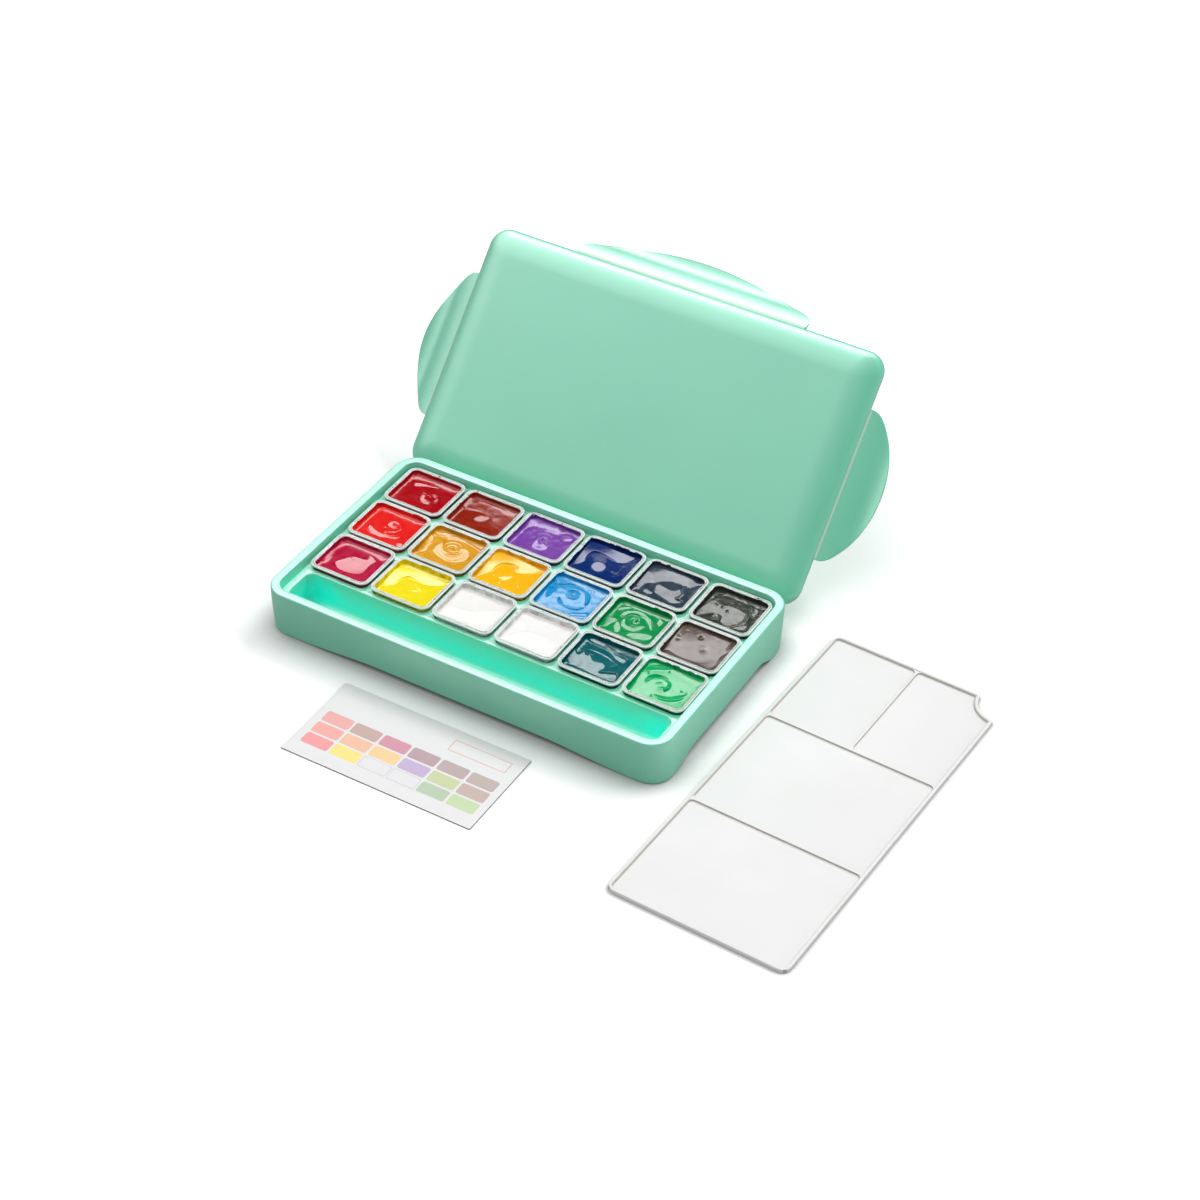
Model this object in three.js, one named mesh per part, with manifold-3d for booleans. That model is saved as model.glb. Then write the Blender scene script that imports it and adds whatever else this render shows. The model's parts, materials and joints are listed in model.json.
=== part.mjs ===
// Gouache paint set box: a footed tray with cups of paint and a brush trough,
// a lid with four hinged flaps, a mixing palette and a colour card.
// Millimetres, +Z up. The tray's long side runs along X and its front faces -Y.
import * as THREE from 'three';
import { mergeVertices } from 'three/addons/utils/BufferGeometryUtils.js';
import Module from 'manifold-3d';

const wasm = await Module();
wasm.setup();

// Shared fits
const seatGap = 0.3;
const cutOverrun = 2;
const cornerSteps = 4;
const wideCornerSteps = 6;

// Cups, six across and three deep
const cupColumns = 6;
const cupRows = 3;
const cupHeight = 24;
const cupBelowRim = 3.5;
const flangeWidth = 45.2;
const flangeDepth = 41.2;
const flangeGapX = 2.3;
const flangeGapY = 2.2;
const flangeThickness = 1.3;
const flangeOverhang = 1.9;
const flangeCornerRadius = 6.5;
const cupWall = 1;
const cupTaper = 1.7;
const cupFloorRadius = 4;
const pocketClearance = 0.5;
const paintBelowFlange = 3.6;
const paintDome = 0.6;
const paintDomeInset = 2.5;

// Tray, sized by the cups and the trough that it holds
const trayWall = 1.8;
const trayCornerRadius = 16;
const rimWidth = 6.5;
const rimEdgeRound = 1;
const rimToCupsSide = 2.15;
const rimToCupsBack = 1.2;
const pocketAboveTable = 5.4;
const deckDrop = 7.5;
const sideDraft = 0.4;
const frontDraft = 2.8;
const draftSteps = 4;
const frontArchHeight = 4;
const frontArchRun = 62;
const frontFootLength = 26;
const sideArchHeight = 6.5;
const sideArchRun = 20;
const sideFootLength = 22;
const archSteps = 6;
const archCutReach = 8;

// Brush trough
const rimToTrough = 5.5;
const troughDepth = 26;
const troughToCups = 2.3;
const troughAboveTable = 2.7;
const troughCornerRadius = 6;
const troughFloorRound = 5;
const troughFloorSteps = 3;
const troughLowCornerShare = 0.25;

// Lid
const lidOverhangX = 2.3;
const lidOverhangY = 1.15;
const lidCornerRadius = 14;
const lidWall = 1.6;
const lidSkirt = 3;
const domeHeight = 9;
const domeWidth = 21;
const domeCornerRadius = 3;
const domeSteps = 6;
const lidLean = THREE.MathUtils.degToRad(47.8);
const lidSideShift = -6.5;
const flapReachUnderTray = 6.742;

// Flaps
const flapThickness = 2;
const hingeGap = 0.3;
const longFlapHinge = 178;
const longFlapReach = 25.2;
const longFlapShoulder = 11.8;
const sideFlapHinge = 106;
const sideFlapReach = 27;
const sideFlapShoulder = 12;
const flapEndReach = 2;
const flapEndRun = 7;
const flapEndSteps = 4;
const flapArcSteps = 12;
const flapReachSteps = 8;
const flapBendShare = 0.58;
const flapLipShare = 0.75;
const flapBendTurn = THREE.MathUtils.degToRad(25);
const flapLipTurn = THREE.MathUtils.degToRad(15);
const sideFold = THREE.MathUtils.degToRad(7);
const upperFold = THREE.MathUtils.degToRad(30);
const standFold = THREE.MathUtils.degToRad(100.7);

// Palette, which packs away over the cups inside the rim
const paletteClearance = 2;
const paletteWidth = 125;
const paletteHeight = 3;
const paletteWall = 2;
const paletteFloor = 1.2;
const paletteCornerRadius = 6;
const paletteNotchRadius = 18;
const dividerWidth = 1.8;
const dividerBelowWall = 0.4;
const nearDividerShare = 0.338;
const farDividerShare = 0.671;
const splitDividerShare = 0.495;
const paletteSideGap = 19.5;
const paletteForward = 39.4;
const paletteTurn = THREE.MathUtils.degToRad(-2.46);

// Colour card
const cardLength = 140.5;
const cardDepth = 72.6;
const cardThickness = 0.6;
const cardCornerRadius = 1;
const cardSideShift = -2.8;
const cardFrontGap = 16.6;

// Plan sizes that follow from the cups, the trough and the rim
const cupPitchX = flangeWidth + flangeGapX;
const cupPitchY = flangeDepth + flangeGapY;
const cupGridWidth = (cupColumns - 1) * cupPitchX + flangeWidth;
const cupGridDepth = (cupRows - 1) * cupPitchY + flangeDepth;
const troughSetback = rimWidth + rimToTrough;
const gridSetback = rimWidth + rimToCupsBack;
const trayWidth = cupGridWidth + 2 * (rimWidth + rimToCupsSide);
const trayDepth = troughSetback + troughDepth + troughToCups + cupGridDepth + gridSetback;
const troughWidth = trayWidth - 2 * troughSetback;
const gridCentreY = trayDepth / 2 - gridSetback - cupGridDepth / 2;
const troughCentreY = troughSetback + troughDepth / 2 - trayDepth / 2;
const lidWidth = trayWidth + 2 * lidOverhangX;
const lidDepth = trayDepth + 2 * lidOverhangY;
const lidStandoff = longFlapReach * Math.cos(lidLean) - flapReachUnderTray;
const paletteLength = trayWidth - 2 * (rimWidth + paletteClearance);

// Heights that several pieces share
const trayHeight = pocketAboveTable + trayWall + seatGap + cupHeight + cupBelowRim;
const deckTop = trayHeight - deckDrop;
const troughFloor = troughAboveTable + trayWall;
const flangeTop = trayHeight - cupBelowRim;
const flangeBottom = flangeTop - flangeThickness;
const cupBottom = flangeTop - cupHeight;
const pocketFloor = cupBottom - seatGap;

// Cup sizes that follow the flange
const cupTopWidth = flangeWidth - 2 * flangeOverhang;
const cupTopDepth = flangeDepth - 2 * flangeOverhang;
const cupTopRadius = flangeCornerRadius - flangeOverhang;

const paints = [
  ['crimson', 0xb00518], ['burnt_sienna', 0x8c2410], ['violet', 0x5c2f96],
  ['navy', 0x141c5c], ['slate', 0x2c3850], ['black', 0x242822],
  ['vermilion', 0xe8201c], ['ochre', 0xd89c14], ['orange_yellow', 0xfca80a],
  ['sky_blue', 0x1c8ade], ['green', 0x0c8040], ['umber', 0x4a3c34],
  ['magenta', 0xb40448], ['lemon', 0xf8e400], ['white', 0xf2f2f0],
  ['second_white', 0xf4f4f2], ['teal', 0x045468], ['bright_green', 0x08bc54],
];

const mint = { color: 0x8fd1b8, roughness: 0.45, metalness: 0 };
const cupPlastic = { color: 0xdfe8e4, roughness: 0.25, metalness: 0 };
const whitePlastic = { color: 0xf1f1f1, roughness: 0.35, metalness: 0 };
const cardStock = { color: 0xe4e6e6, roughness: 0.5, metalness: 0 };

// Points of a rounded rectangle about its centre, anticlockwise seen from above
function roundedRect(width, depth, radius, steps = cornerSteps) {
  const points = [];
  for (const [sideX, sideY, turn] of [[1, 1, 0], [-1, 1, 1], [-1, -1, 2], [1, -1, 3]]) {
    const centreX = sideX * (width / 2 - radius);
    const centreY = sideY * (depth / 2 - radius);
    for (let step = 0; step <= steps; step += 1) {
      const angle = (turn + step / steps) * (Math.PI / 2);
      const x = centreX + radius * Math.cos(angle);
      const y = centreY + radius * Math.sin(angle);
      points.push(new THREE.Vector2(x, y));
    }
  }
  return points;
}

function ringAt(points, height) {
  return points.map((point) => new THREE.Vector3(point.x, point.y, height));
}

// Closed solid through rings that all have the same number of points
function loft(rings) {
  const count = rings[0].length;
  const positions = rings.flat().flatMap((point) => [point.x, point.y, point.z]);
  const faces = [];
  for (let level = 0; level < rings.length - 1; level += 1) {
    for (let index = 0; index < count; index += 1) {
      const low = level * count + index;
      const lowNext = level * count + ((index + 1) % count);
      faces.push(low, lowNext, lowNext + count, low, lowNext + count, low + count);
    }
  }
  const last = (rings.length - 1) * count;
  for (let index = 1; index < count - 1; index += 1) {
    faces.push(0, index + 1, index);
    faces.push(last, last + index, last + index + 1);
  }
  const geometry = new THREE.BufferGeometry();
  geometry.setAttribute('position', new THREE.Float32BufferAttribute(positions, 3));
  geometry.setIndex(faces);
  return geometry;
}

// Solid of straight walls between two heights
function prism(points, low, high) {
  return loft([ringAt(points, low), ringAt(points, high)]);
}

function toSolid(source) {
  const geometry = source.clone();
  geometry.deleteAttribute('normal');
  geometry.deleteAttribute('uv');
  const merged = mergeVertices(geometry);
  return new wasm.Manifold(new wasm.Mesh({
    numProp: 3,
    vertProperties: new Float32Array(merged.attributes.position.array),
    triVerts: new Uint32Array(merged.index.array),
  }));
}

function toGeometry(solid) {
  const mesh = solid.getMesh();
  const geometry = new THREE.BufferGeometry();
  geometry.setAttribute('position', new THREE.BufferAttribute(mesh.vertProperties, 3));
  geometry.setIndex(new THREE.BufferAttribute(mesh.triVerts, 1));
  return geometry;
}

function part(name, geometry, look) {
  geometry.computeVertexNormals();
  const mesh = new THREE.Mesh(geometry, new THREE.MeshStandardMaterial(look));
  mesh.name = name;
  return mesh;
}

// Outline of the tray's wall at one height, drawn in by its draft and an inset
function trayOutline(height, inset) {
  const draftShare = (1 - height / trayHeight) ** 2;
  const width = trayWidth - 2 * (inset + sideDraft * draftShare);
  const depth = trayDepth - 2 * (inset + frontDraft * draftShare);
  return roundedRect(width, depth, trayCornerRadius - inset, wideCornerSteps);
}

function trayWallRings(inset, topHeight) {
  const rings = [];
  for (let step = 0; step <= draftSteps; step += 1) {
    const height = (topHeight * step) / draftSteps;
    rings.push(ringAt(trayOutline(height, inset), height));
  }
  return rings;
}

// Cutter below a wall's arched edge: flat at the top, with a smooth run down to each foot
function archCutter(spanLength, footLength, run, archHeight) {
  const shape = new THREE.Shape();
  const half = spanLength / 2 - footLength;
  shape.moveTo(-half, -cutOverrun);
  for (let step = 0; step <= archSteps; step += 1) {
    const share = step / archSteps;
    const rise = (archHeight * (1 - Math.cos(Math.PI * share))) / 2;
    shape.lineTo(-half + run * share, rise);
  }
  for (let step = archSteps; step >= 0; step -= 1) {
    const share = step / archSteps;
    const rise = (archHeight * (1 - Math.cos(Math.PI * share))) / 2;
    shape.lineTo(half - run * share, rise);
  }
  shape.lineTo(half, -cutOverrun);
  const geometry = new THREE.ExtrudeGeometry(shape, { depth: archCutReach, bevelEnabled: false });
  geometry.rotateX(Math.PI / 2);
  geometry.translate(0, archCutReach, 0);
  return geometry;
}

// Arch cutters laid across the front, back and side walls
function archCutters() {
  const cutters = [];
  const placings = [
    [0, trayDepth, trayWidth, frontFootLength, frontArchRun, frontArchHeight],
    [2, trayDepth, trayWidth, frontFootLength, frontArchRun, frontArchHeight],
    [1, trayWidth, trayDepth, sideFootLength, sideArchRun, sideArchHeight],
    [3, trayWidth, trayDepth, sideFootLength, sideArchRun, sideArchHeight],
  ];
  for (const [turn, across, span, foot, run, archHeight] of placings) {
    const cutter = archCutter(span, foot, run, archHeight);
    cutter.translate(0, -across / 2 - cutOverrun, 0);
    cutter.rotateZ((turn * Math.PI) / 2);
    cutters.push(toSolid(cutter));
  }
  return cutters;
}

function cupCentres() {
  const centres = [];
  for (let row = 0; row < cupRows; row += 1) {
    for (let column = 0; column < cupColumns; column += 1) {
      const x = (column - (cupColumns - 1) / 2) * cupPitchX;
      const y = gridCentreY + ((cupRows - 1) / 2 - row) * cupPitchY;
      centres.push([x, y]);
    }
  }
  return centres;
}

// A tub between two heights, moved to its place in the tray
function placedPrism(width, depth, radius, low, high, x, y) {
  const geometry = prism(roundedRect(width, depth, radius), low, high);
  geometry.translate(x, y, 0);
  return toSolid(geometry);
}

// Trough hollow with a floor that rounds up into its walls
function troughCavity() {
  const rings = [];
  for (let step = 0; step <= troughFloorSteps; step += 1) {
    const angle = ((step / troughFloorSteps) * Math.PI) / 2;
    const inset = troughFloorRound * (1 - Math.sin(angle));
    const height = troughFloor + troughFloorRound * (1 - Math.cos(angle));
    const lowRadius = troughCornerRadius * troughLowCornerShare;
    const radius = Math.max(troughCornerRadius - inset, lowRadius);
    const outline = roundedRect(troughWidth - 2 * inset, troughDepth - 2 * inset, radius);
    rings.push(ringAt(outline, height));
  }
  const mouth = roundedRect(troughWidth, troughDepth, troughCornerRadius);
  rings.push(ringAt(mouth, deckTop + cutOverrun));
  const geometry = loft(rings);
  geometry.translate(0, troughCentreY, 0);
  return toSolid(geometry);
}

function makeTray() {
  const rings = trayWallRings(0, trayHeight - rimEdgeRound);
  rings.push(ringAt(trayOutline(trayHeight, rimEdgeRound), trayHeight));
  let tray = toSolid(loft(rings));
  const hollow = trayWallRings(trayWall, trayHeight - trayWall);
  hollow.unshift(ringAt(trayOutline(0, trayWall), -cutOverrun));
  tray = tray.subtract(toSolid(loft(hollow)));

  const recessWidth = trayWidth - 2 * rimWidth;
  const recessDepth = trayDepth - 2 * rimWidth;
  const recessRadius = trayCornerRadius - rimWidth;
  const tubTop = trayHeight - trayWall / 2;
  const deckLow = deckTop - trayWall;
  tray = tray.add(placedPrism(
    recessWidth + 2 * trayWall, recessDepth + 2 * trayWall, recessRadius + trayWall,
    deckLow, tubTop, 0, 0));
  tray = tray.subtract(placedPrism(
    recessWidth, recessDepth, recessRadius, deckTop, trayHeight + cutOverrun, 0, 0));

  const pocketWidth = cupTopWidth + 2 * pocketClearance;
  const pocketDepth = cupTopDepth + 2 * pocketClearance;
  const pocketRadius = cupTopRadius + pocketClearance;
  const pocketLow = pocketFloor - trayWall;
  for (const [x, y] of cupCentres()) {
    tray = tray.add(placedPrism(
      pocketWidth + 2 * trayWall, pocketDepth + 2 * trayWall, pocketRadius + trayWall,
      pocketLow, deckTop - trayWall / 2, x, y));
  }

  const frontPocketEdge = gridCentreY - ((cupRows - 1) * cupPitchY + pocketDepth) / 2;
  const troughFront = troughCentreY - troughDepth / 2 - trayWall;
  const troughBack = frontPocketEdge - trayWall / 2;
  tray = tray.add(placedPrism(
    troughWidth + 2 * trayWall, troughBack - troughFront, troughCornerRadius,
    troughAboveTable, deckTop - trayWall / 2, 0, (troughFront + troughBack) / 2));

  for (const [x, y] of cupCentres()) {
    tray = tray.subtract(placedPrism(
      pocketWidth, pocketDepth, pocketRadius, pocketFloor, deckTop + cutOverrun, x, y));
  }
  tray = tray.subtract(troughCavity());
  for (const cutter of archCutters()) {
    tray = tray.subtract(cutter);
  }
  return part('base_tray', toGeometry(tray), mint);
}

// Outline of the cup at one height, drawn in by its taper and an inset
function cupOutline(height, inset) {
  const dropShare = (flangeBottom - height) / (flangeBottom - cupBottom);
  const drawn = inset + cupTaper * dropShare;
  const radius = cupTopRadius + (cupFloorRadius - cupTopRadius) * dropShare - inset;
  return roundedRect(cupTopWidth - 2 * drawn, cupTopDepth - 2 * drawn, radius);
}

function makeCup(colourName) {
  const flange = roundedRect(flangeWidth, flangeDepth, flangeCornerRadius);
  const innerFloor = cupBottom + cupWall;
  return part(`cup_${colourName}`, loft([
    ringAt(cupOutline(cupBottom, 0), cupBottom),
    ringAt(cupOutline(flangeBottom, 0), flangeBottom),
    ringAt(flange, flangeBottom),
    ringAt(flange, flangeTop),
    ringAt(cupOutline(flangeTop, cupWall), flangeTop),
    ringAt(cupOutline(innerFloor, cupWall), innerFloor),
  ]), cupPlastic);
}

function makePaint(colourName, colour) {
  const inset = cupWall + seatGap;
  const low = cupBottom + cupWall + seatGap;
  const edge = flangeTop - paintBelowFlange;
  const look = { color: colour, roughness: 0.2, metalness: 0 };
  return part(`paint_${colourName}`, loft([
    ringAt(cupOutline(low, inset), low),
    ringAt(cupOutline(edge, inset), edge),
    ringAt(cupOutline(edge, inset + paintDomeInset), edge + paintDome),
  ]), look);
}

function cupOfPaint(x, y, colourName, colour) {
  const group = new THREE.Group();
  group.add(makeCup(colourName), makePaint(colourName, colour));
  group.position.set(x, y, 0);
  return group;
}

// Rings of the lid's dome, from its lower edge up to the flat face
function domeRings(inset, lowHeight) {
  const rings = [];
  const width = lidWidth - 2 * inset;
  const depth = lidDepth - 2 * inset;
  const edge = roundedRect(width, depth, lidCornerRadius - inset, wideCornerSteps);
  rings.push(ringAt(edge, lowHeight));
  for (let step = 0; step <= domeSteps; step += 1) {
    const angle = ((step / domeSteps) * Math.PI) / 2;
    const drawn = (domeWidth - inset) * (1 - Math.cos(angle));
    const height = (domeHeight - inset) * Math.sin(angle);
    const share = 1 - Math.cos(angle);
    const radius = (lidCornerRadius - inset) * (1 - share) + domeCornerRadius * share;
    const outline = roundedRect(width - 2 * drawn, depth - 2 * drawn, radius, wideCornerSteps);
    rings.push(ringAt(outline, height));
  }
  return rings;
}

function makeLidShell() {
  const outside = toSolid(loft(domeRings(0, -lidSkirt)));
  const inside = toSolid(loft(domeRings(lidWall, -lidSkirt - cutOverrun)));
  return part('lid_shell', toGeometry(outside.subtract(inside)), mint);
}

// Height of a flap's outer face at a distance from its hinge: bends away, then lifts to a lip
function flapFace(distance, reach) {
  const bendSlope = Math.tan(flapBendTurn);
  const lipSlope = Math.tan(flapLipTurn);
  const bendRun = reach * flapBendShare;
  if (distance <= bendRun) {
    return (-bendSlope * distance ** 2) / (2 * bendRun);
  }
  const kneeRun = reach * (flapLipShare - flapBendShare);
  const past = Math.min(distance - bendRun, kneeRun);
  const knee = -bendSlope * past + ((bendSlope + lipSlope) * past ** 2) / (2 * kneeRun);
  const lip = lipSlope * (distance - bendRun - past);
  return (-bendSlope * bendRun) / 2 + knee + lip;
}

// Stations along a flap's hinge with the flap's reach at each one: an arc with rounded ends
function flapStations(hinge, reach, shoulder) {
  const half = hinge / 2;
  const shoulderRun = half - flapEndRun;
  const sagitta = reach - shoulder;
  const arcRadius = (shoulderRun ** 2 + sagitta ** 2) / (2 * sagitta);
  const arcSlope = shoulderRun / (arcRadius - sagitta);
  const cornerReach = shoulder - arcSlope * flapEndRun;
  const stations = [];
  for (let step = 0; step < flapEndSteps; step += 1) {
    const share = step / flapEndSteps;
    const along = -half + flapEndRun * share ** 2;
    const rest = 1 - share;
    const middle = 2 * cornerReach * rest * share;
    stations.push([along, flapEndReach * rest ** 2 + middle + shoulder * share ** 2]);
  }
  for (let step = 0; step <= flapArcSteps; step += 1) {
    const along = shoulderRun * ((2 * step) / flapArcSteps - 1);
    const dip = arcRadius - Math.sqrt(arcRadius ** 2 - along ** 2);
    stations.push([along, reach - dip]);
  }
  for (let step = flapEndSteps - 1; step >= 0; step -= 1) {
    const [along, reachThere] = stations[step];
    stations.push([-along, reachThere]);
  }
  return stations;
}

// A flap in its own frame: hinge line along X, reaching towards -Y, outer face up
function flapGeometry(hinge, reach, shoulder) {
  const rings = flapStations(hinge, reach, shoulder).map(([along, reachThere]) => {
    const ring = [];
    for (let step = 0; step <= flapReachSteps; step += 1) {
      const distance = (reachThere * step) / flapReachSteps;
      const face = flapFace(distance, reach) + flapThickness;
      ring.push(new THREE.Vector3(along, -hingeGap - distance, face));
    }
    for (let step = flapReachSteps; step >= 0; step -= 1) {
      const distance = (reachThere * step) / flapReachSteps;
      ring.push(new THREE.Vector3(along, -hingeGap - distance, flapFace(distance, reach)));
    }
    return ring;
  });
  return loft(rings);
}

// Flap carried at its hinge line on one edge of the lid and folded towards the inside
function hingedFlap(name, size, turn, edgeDistance, fold) {
  const flap = part(name, flapGeometry(...size), mint);
  flap.rotation.x = fold;
  const hinge = new THREE.Group();
  hinge.add(flap);
  hinge.position.set(0, -edgeDistance, -lidSkirt);
  const turned = new THREE.Group();
  turned.add(hinge);
  turned.rotation.z = turn;
  return turned;
}

// Lid group in its own frame: outer face up, centred on its plan
function makeLid() {
  const lid = new THREE.Group();
  const longFlap = [longFlapHinge, longFlapReach, longFlapShoulder];
  const sideFlap = [sideFlapHinge, sideFlapReach, sideFlapShoulder];
  lid.add(makeLidShell());
  lid.add(hingedFlap('lower_flap', longFlap, 0, lidDepth / 2, standFold));
  lid.add(hingedFlap('right_flap', sideFlap, Math.PI / 2, lidWidth / 2, sideFold));
  lid.add(hingedFlap('upper_flap', longFlap, Math.PI, lidDepth / 2, upperFold));
  lid.add(hingedFlap('left_flap', sideFlap, -Math.PI / 2, lidWidth / 2, sideFold));
  return lid;
}

// Lid leaning back behind the tray, standing on its folded lower flap
function leaningLid() {
  const lid = makeLid();
  lid.position.y = lidDepth / 2;
  const leaning = new THREE.Group();
  leaning.add(lid);
  leaning.rotation.x = lidLean;
  const placed = new THREE.Group();
  placed.add(leaning);
  placed.position.set(lidSideShift, trayDepth / 2 + lidStandoff, 0);
  const lowest = new THREE.Box3().setFromObject(placed, true).min.z;
  placed.position.z = -lowest;
  return placed;
}

// Palette outline drawn in by an inset, with a hollow finger notch at one corner
function paletteShape(inset) {
  const width = paletteWidth - 2 * inset;
  const length = paletteLength - 2 * inset;
  const radius = paletteCornerRadius - inset;
  const notch = paletteNotchRadius + inset;
  const notchX = paletteWidth / 2;
  const notchY = paletteLength / 2;
  const reachX = Math.sqrt(notch ** 2 - inset ** 2);
  const shape = new THREE.Shape();
  shape.moveTo(-width / 2 + radius, -length / 2);
  shape.lineTo(width / 2 - radius, -length / 2);
  shape.absarc(width / 2 - radius, -length / 2 + radius, radius, -Math.PI / 2, 0, false);
  shape.lineTo(width / 2, notchY - reachX);
  const startAngle = Math.atan2(-reachX, -inset);
  const endAngle = Math.atan2(-inset, -reachX);
  shape.absarc(notchX, notchY, notch, startAngle, endAngle, true);
  shape.lineTo(-width / 2 + radius, length / 2);
  shape.absarc(-width / 2 + radius, length / 2 - radius, radius, Math.PI / 2, Math.PI, false);
  shape.lineTo(-width / 2, -length / 2 + radius);
  shape.absarc(-width / 2 + radius, -length / 2 + radius, radius, Math.PI, Math.PI * 1.5, false);
  return shape;
}

function extruded(shape, low, high) {
  const options = { depth: high - low, bevelEnabled: false, curveSegments: wideCornerSteps };
  const geometry = new THREE.ExtrudeGeometry(shape, options);
  geometry.translate(0, 0, low);
  return toSolid(geometry);
}

// Raised line across the palette floor
function divider(sizeX, sizeY, x, y) {
  const high = paletteHeight - dividerBelowWall;
  const low = paletteFloor / 2;
  const geometry = new THREE.BoxGeometry(sizeX, sizeY, high - low);
  geometry.translate(x, y, (high + low) / 2);
  return toSolid(geometry);
}

function makePalette() {
  const outside = extruded(paletteShape(0), 0, paletteHeight);
  const inside = extruded(paletteShape(paletteWall), paletteFloor, paletteHeight + cutOverrun);
  const crossWidth = paletteWidth - paletteWall;
  const nearY = paletteLength * (nearDividerShare - 1 / 2);
  const farY = paletteLength * (farDividerShare - 1 / 2);
  const splitLength = paletteLength / 2 - paletteWall / 2 - farY;
  const splitX = paletteWidth * (splitDividerShare - 1 / 2);
  let palette = outside.subtract(inside);
  palette = palette.add(divider(crossWidth, dividerWidth, 0, nearY));
  palette = palette.add(divider(crossWidth, dividerWidth, 0, farY));
  palette = palette.add(divider(dividerWidth, splitLength, splitX, farY + splitLength / 2));
  const mesh = part('palette', toGeometry(palette), whitePlastic);
  const beside = (trayWidth + paletteWidth) / 2 + paletteSideGap;
  mesh.position.set(beside, -paletteForward, 0);
  mesh.rotation.z = paletteTurn;
  return mesh;
}

function makeCard() {
  const outline = roundedRect(cardLength, cardDepth, cardCornerRadius);
  const card = part('colour_card', prism(outline, 0, cardThickness), cardStock);
  const inFront = (trayDepth + cardDepth) / 2 + cardFrontGap;
  card.position.set(cardSideShift, -inFront, 0);
  return card;
}

// The whole set, moved so that the middle of its footprint stands at the origin
function makeSet() {
  const set = new THREE.Group();
  set.add(makeTray());
  cupCentres().forEach(([x, y], index) => {
    set.add(cupOfPaint(x, y, ...paints[index]));
  });
  set.add(leaningLid(), makePalette(), makeCard());
  const bounds = new THREE.Box3().setFromObject(set, true);
  const centre = bounds.getCenter(new THREE.Vector3());
  set.position.set(-centre.x, -centre.y, -bounds.min.z);
  return set;
}

export default makeSet();
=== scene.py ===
import json
import math

import bmesh
import bpy
import numpy as np
from mathutils import Matrix, Vector


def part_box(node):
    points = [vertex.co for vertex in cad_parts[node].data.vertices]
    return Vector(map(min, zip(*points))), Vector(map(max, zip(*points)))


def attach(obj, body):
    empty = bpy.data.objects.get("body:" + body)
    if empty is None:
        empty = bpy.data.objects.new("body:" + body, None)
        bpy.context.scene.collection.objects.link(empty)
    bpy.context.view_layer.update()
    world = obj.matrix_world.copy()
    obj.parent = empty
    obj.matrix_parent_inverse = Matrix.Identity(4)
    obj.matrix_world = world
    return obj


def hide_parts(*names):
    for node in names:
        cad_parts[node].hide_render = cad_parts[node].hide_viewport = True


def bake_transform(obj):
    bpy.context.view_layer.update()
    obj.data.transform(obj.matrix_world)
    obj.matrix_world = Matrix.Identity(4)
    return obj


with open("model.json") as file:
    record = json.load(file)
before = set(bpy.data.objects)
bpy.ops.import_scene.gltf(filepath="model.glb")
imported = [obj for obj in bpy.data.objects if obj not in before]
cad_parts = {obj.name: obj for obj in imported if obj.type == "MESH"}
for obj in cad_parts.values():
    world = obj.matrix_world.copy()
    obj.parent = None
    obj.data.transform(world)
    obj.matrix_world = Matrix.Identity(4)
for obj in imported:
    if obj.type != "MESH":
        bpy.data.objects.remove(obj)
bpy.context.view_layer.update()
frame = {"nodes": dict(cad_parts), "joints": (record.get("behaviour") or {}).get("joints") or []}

# Sizes are in millimetres and become metres where a mesh is made
MM = 0.001
joints = {joint["name"]: joint for joint in frame["joints"]}


def node_box(node):
    """Lowest and highest corner of a node, in millimetres."""
    low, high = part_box(node)
    return np.array(low) / MM, np.array(high) / MM


# The camera, fitted to the photo, from the middle of the tray's front edge on the table
CAMERA_OFFSET = (751.944, -1156.601, 1225.660)
CAMERA_AZIMUTH = 29.2700
CAMERA_ELEVATION = 39.4309
CAMERA_ROLL = 1.7681
FOCAL_PIXELS = 2878.512
PHOTO_PIXELS = 1200
SENSOR_WIDTH = 36

# Tray
TRAY_CORNER_RADIUS = 16
TRAY_WALL = 1.8
RIM_WIDTH = 6.5
RIM_OUTER_ROUND = 1.3
RIM_INNER_ROUND = 0.9
DECK_DROP = 7.5
DECK_FILLET = 1.6
SIDE_DRAFT = 0.4
FRONT_DRAFT = 2.8
FRONT_ARCH_HEIGHT = 4
FRONT_ARCH_RUN = 62
FRONT_FOOT_LENGTH = 26
SIDE_ARCH_HEIGHT = 6.5
SIDE_ARCH_RUN = 20
SIDE_FOOT_LENGTH = 22
FOOT_EDGE_ROUND = 0.6
TROUGH_SETBACK = 12
TROUGH_DEPTH = 26
TROUGH_ABOVE_TABLE = 2.7
TROUGH_CORNER_RADIUS = 6
TROUGH_FLOOR_ROUND = 5
TROUGH_MOUTH_ROUND = 1.1
TUB_WALL = 1.5
POCKET_CLEARANCE = 0.5
POCKET_MOUTH_ROUND = 0.9
POCKET_FLOOR_ROUND = 1.5

# Cups. The groove's profile is its insets from the flange's edge, with shares of its depth
FLANGE_THICKNESS = 1.3
FLANGE_OVERHANG = 1.9
FLANGE_CORNER_RADIUS = 6.5
FLANGE_EDGE_ROUND = 0.45
FLANGE_GROOVE = 0.3
GROOVE_PROFILE = ((0.85, 0), (1.1, 0.75), (1.3, 1), (1.9, 1), (2.1, 0.75), (2.35, 0))
CUP_WALL = 0.7
CUP_TAPER = 1.7
CUP_FLOOR_RADIUS = 4
CUP_FLOOR_ROUND = 1.2
CUP_LEAST_RADIUS = 0.5
SEAT_GAP = 0.3

# Lid
LID_CORNER_RADIUS = 14
LID_WALL = 1.6
LID_SKIRT = 3
LID_EDGE_ROUND = 0.5
DOME_HEIGHT = 9
DOME_WIDTH = 21
DOME_CORNER_RADIUS = 3

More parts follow.
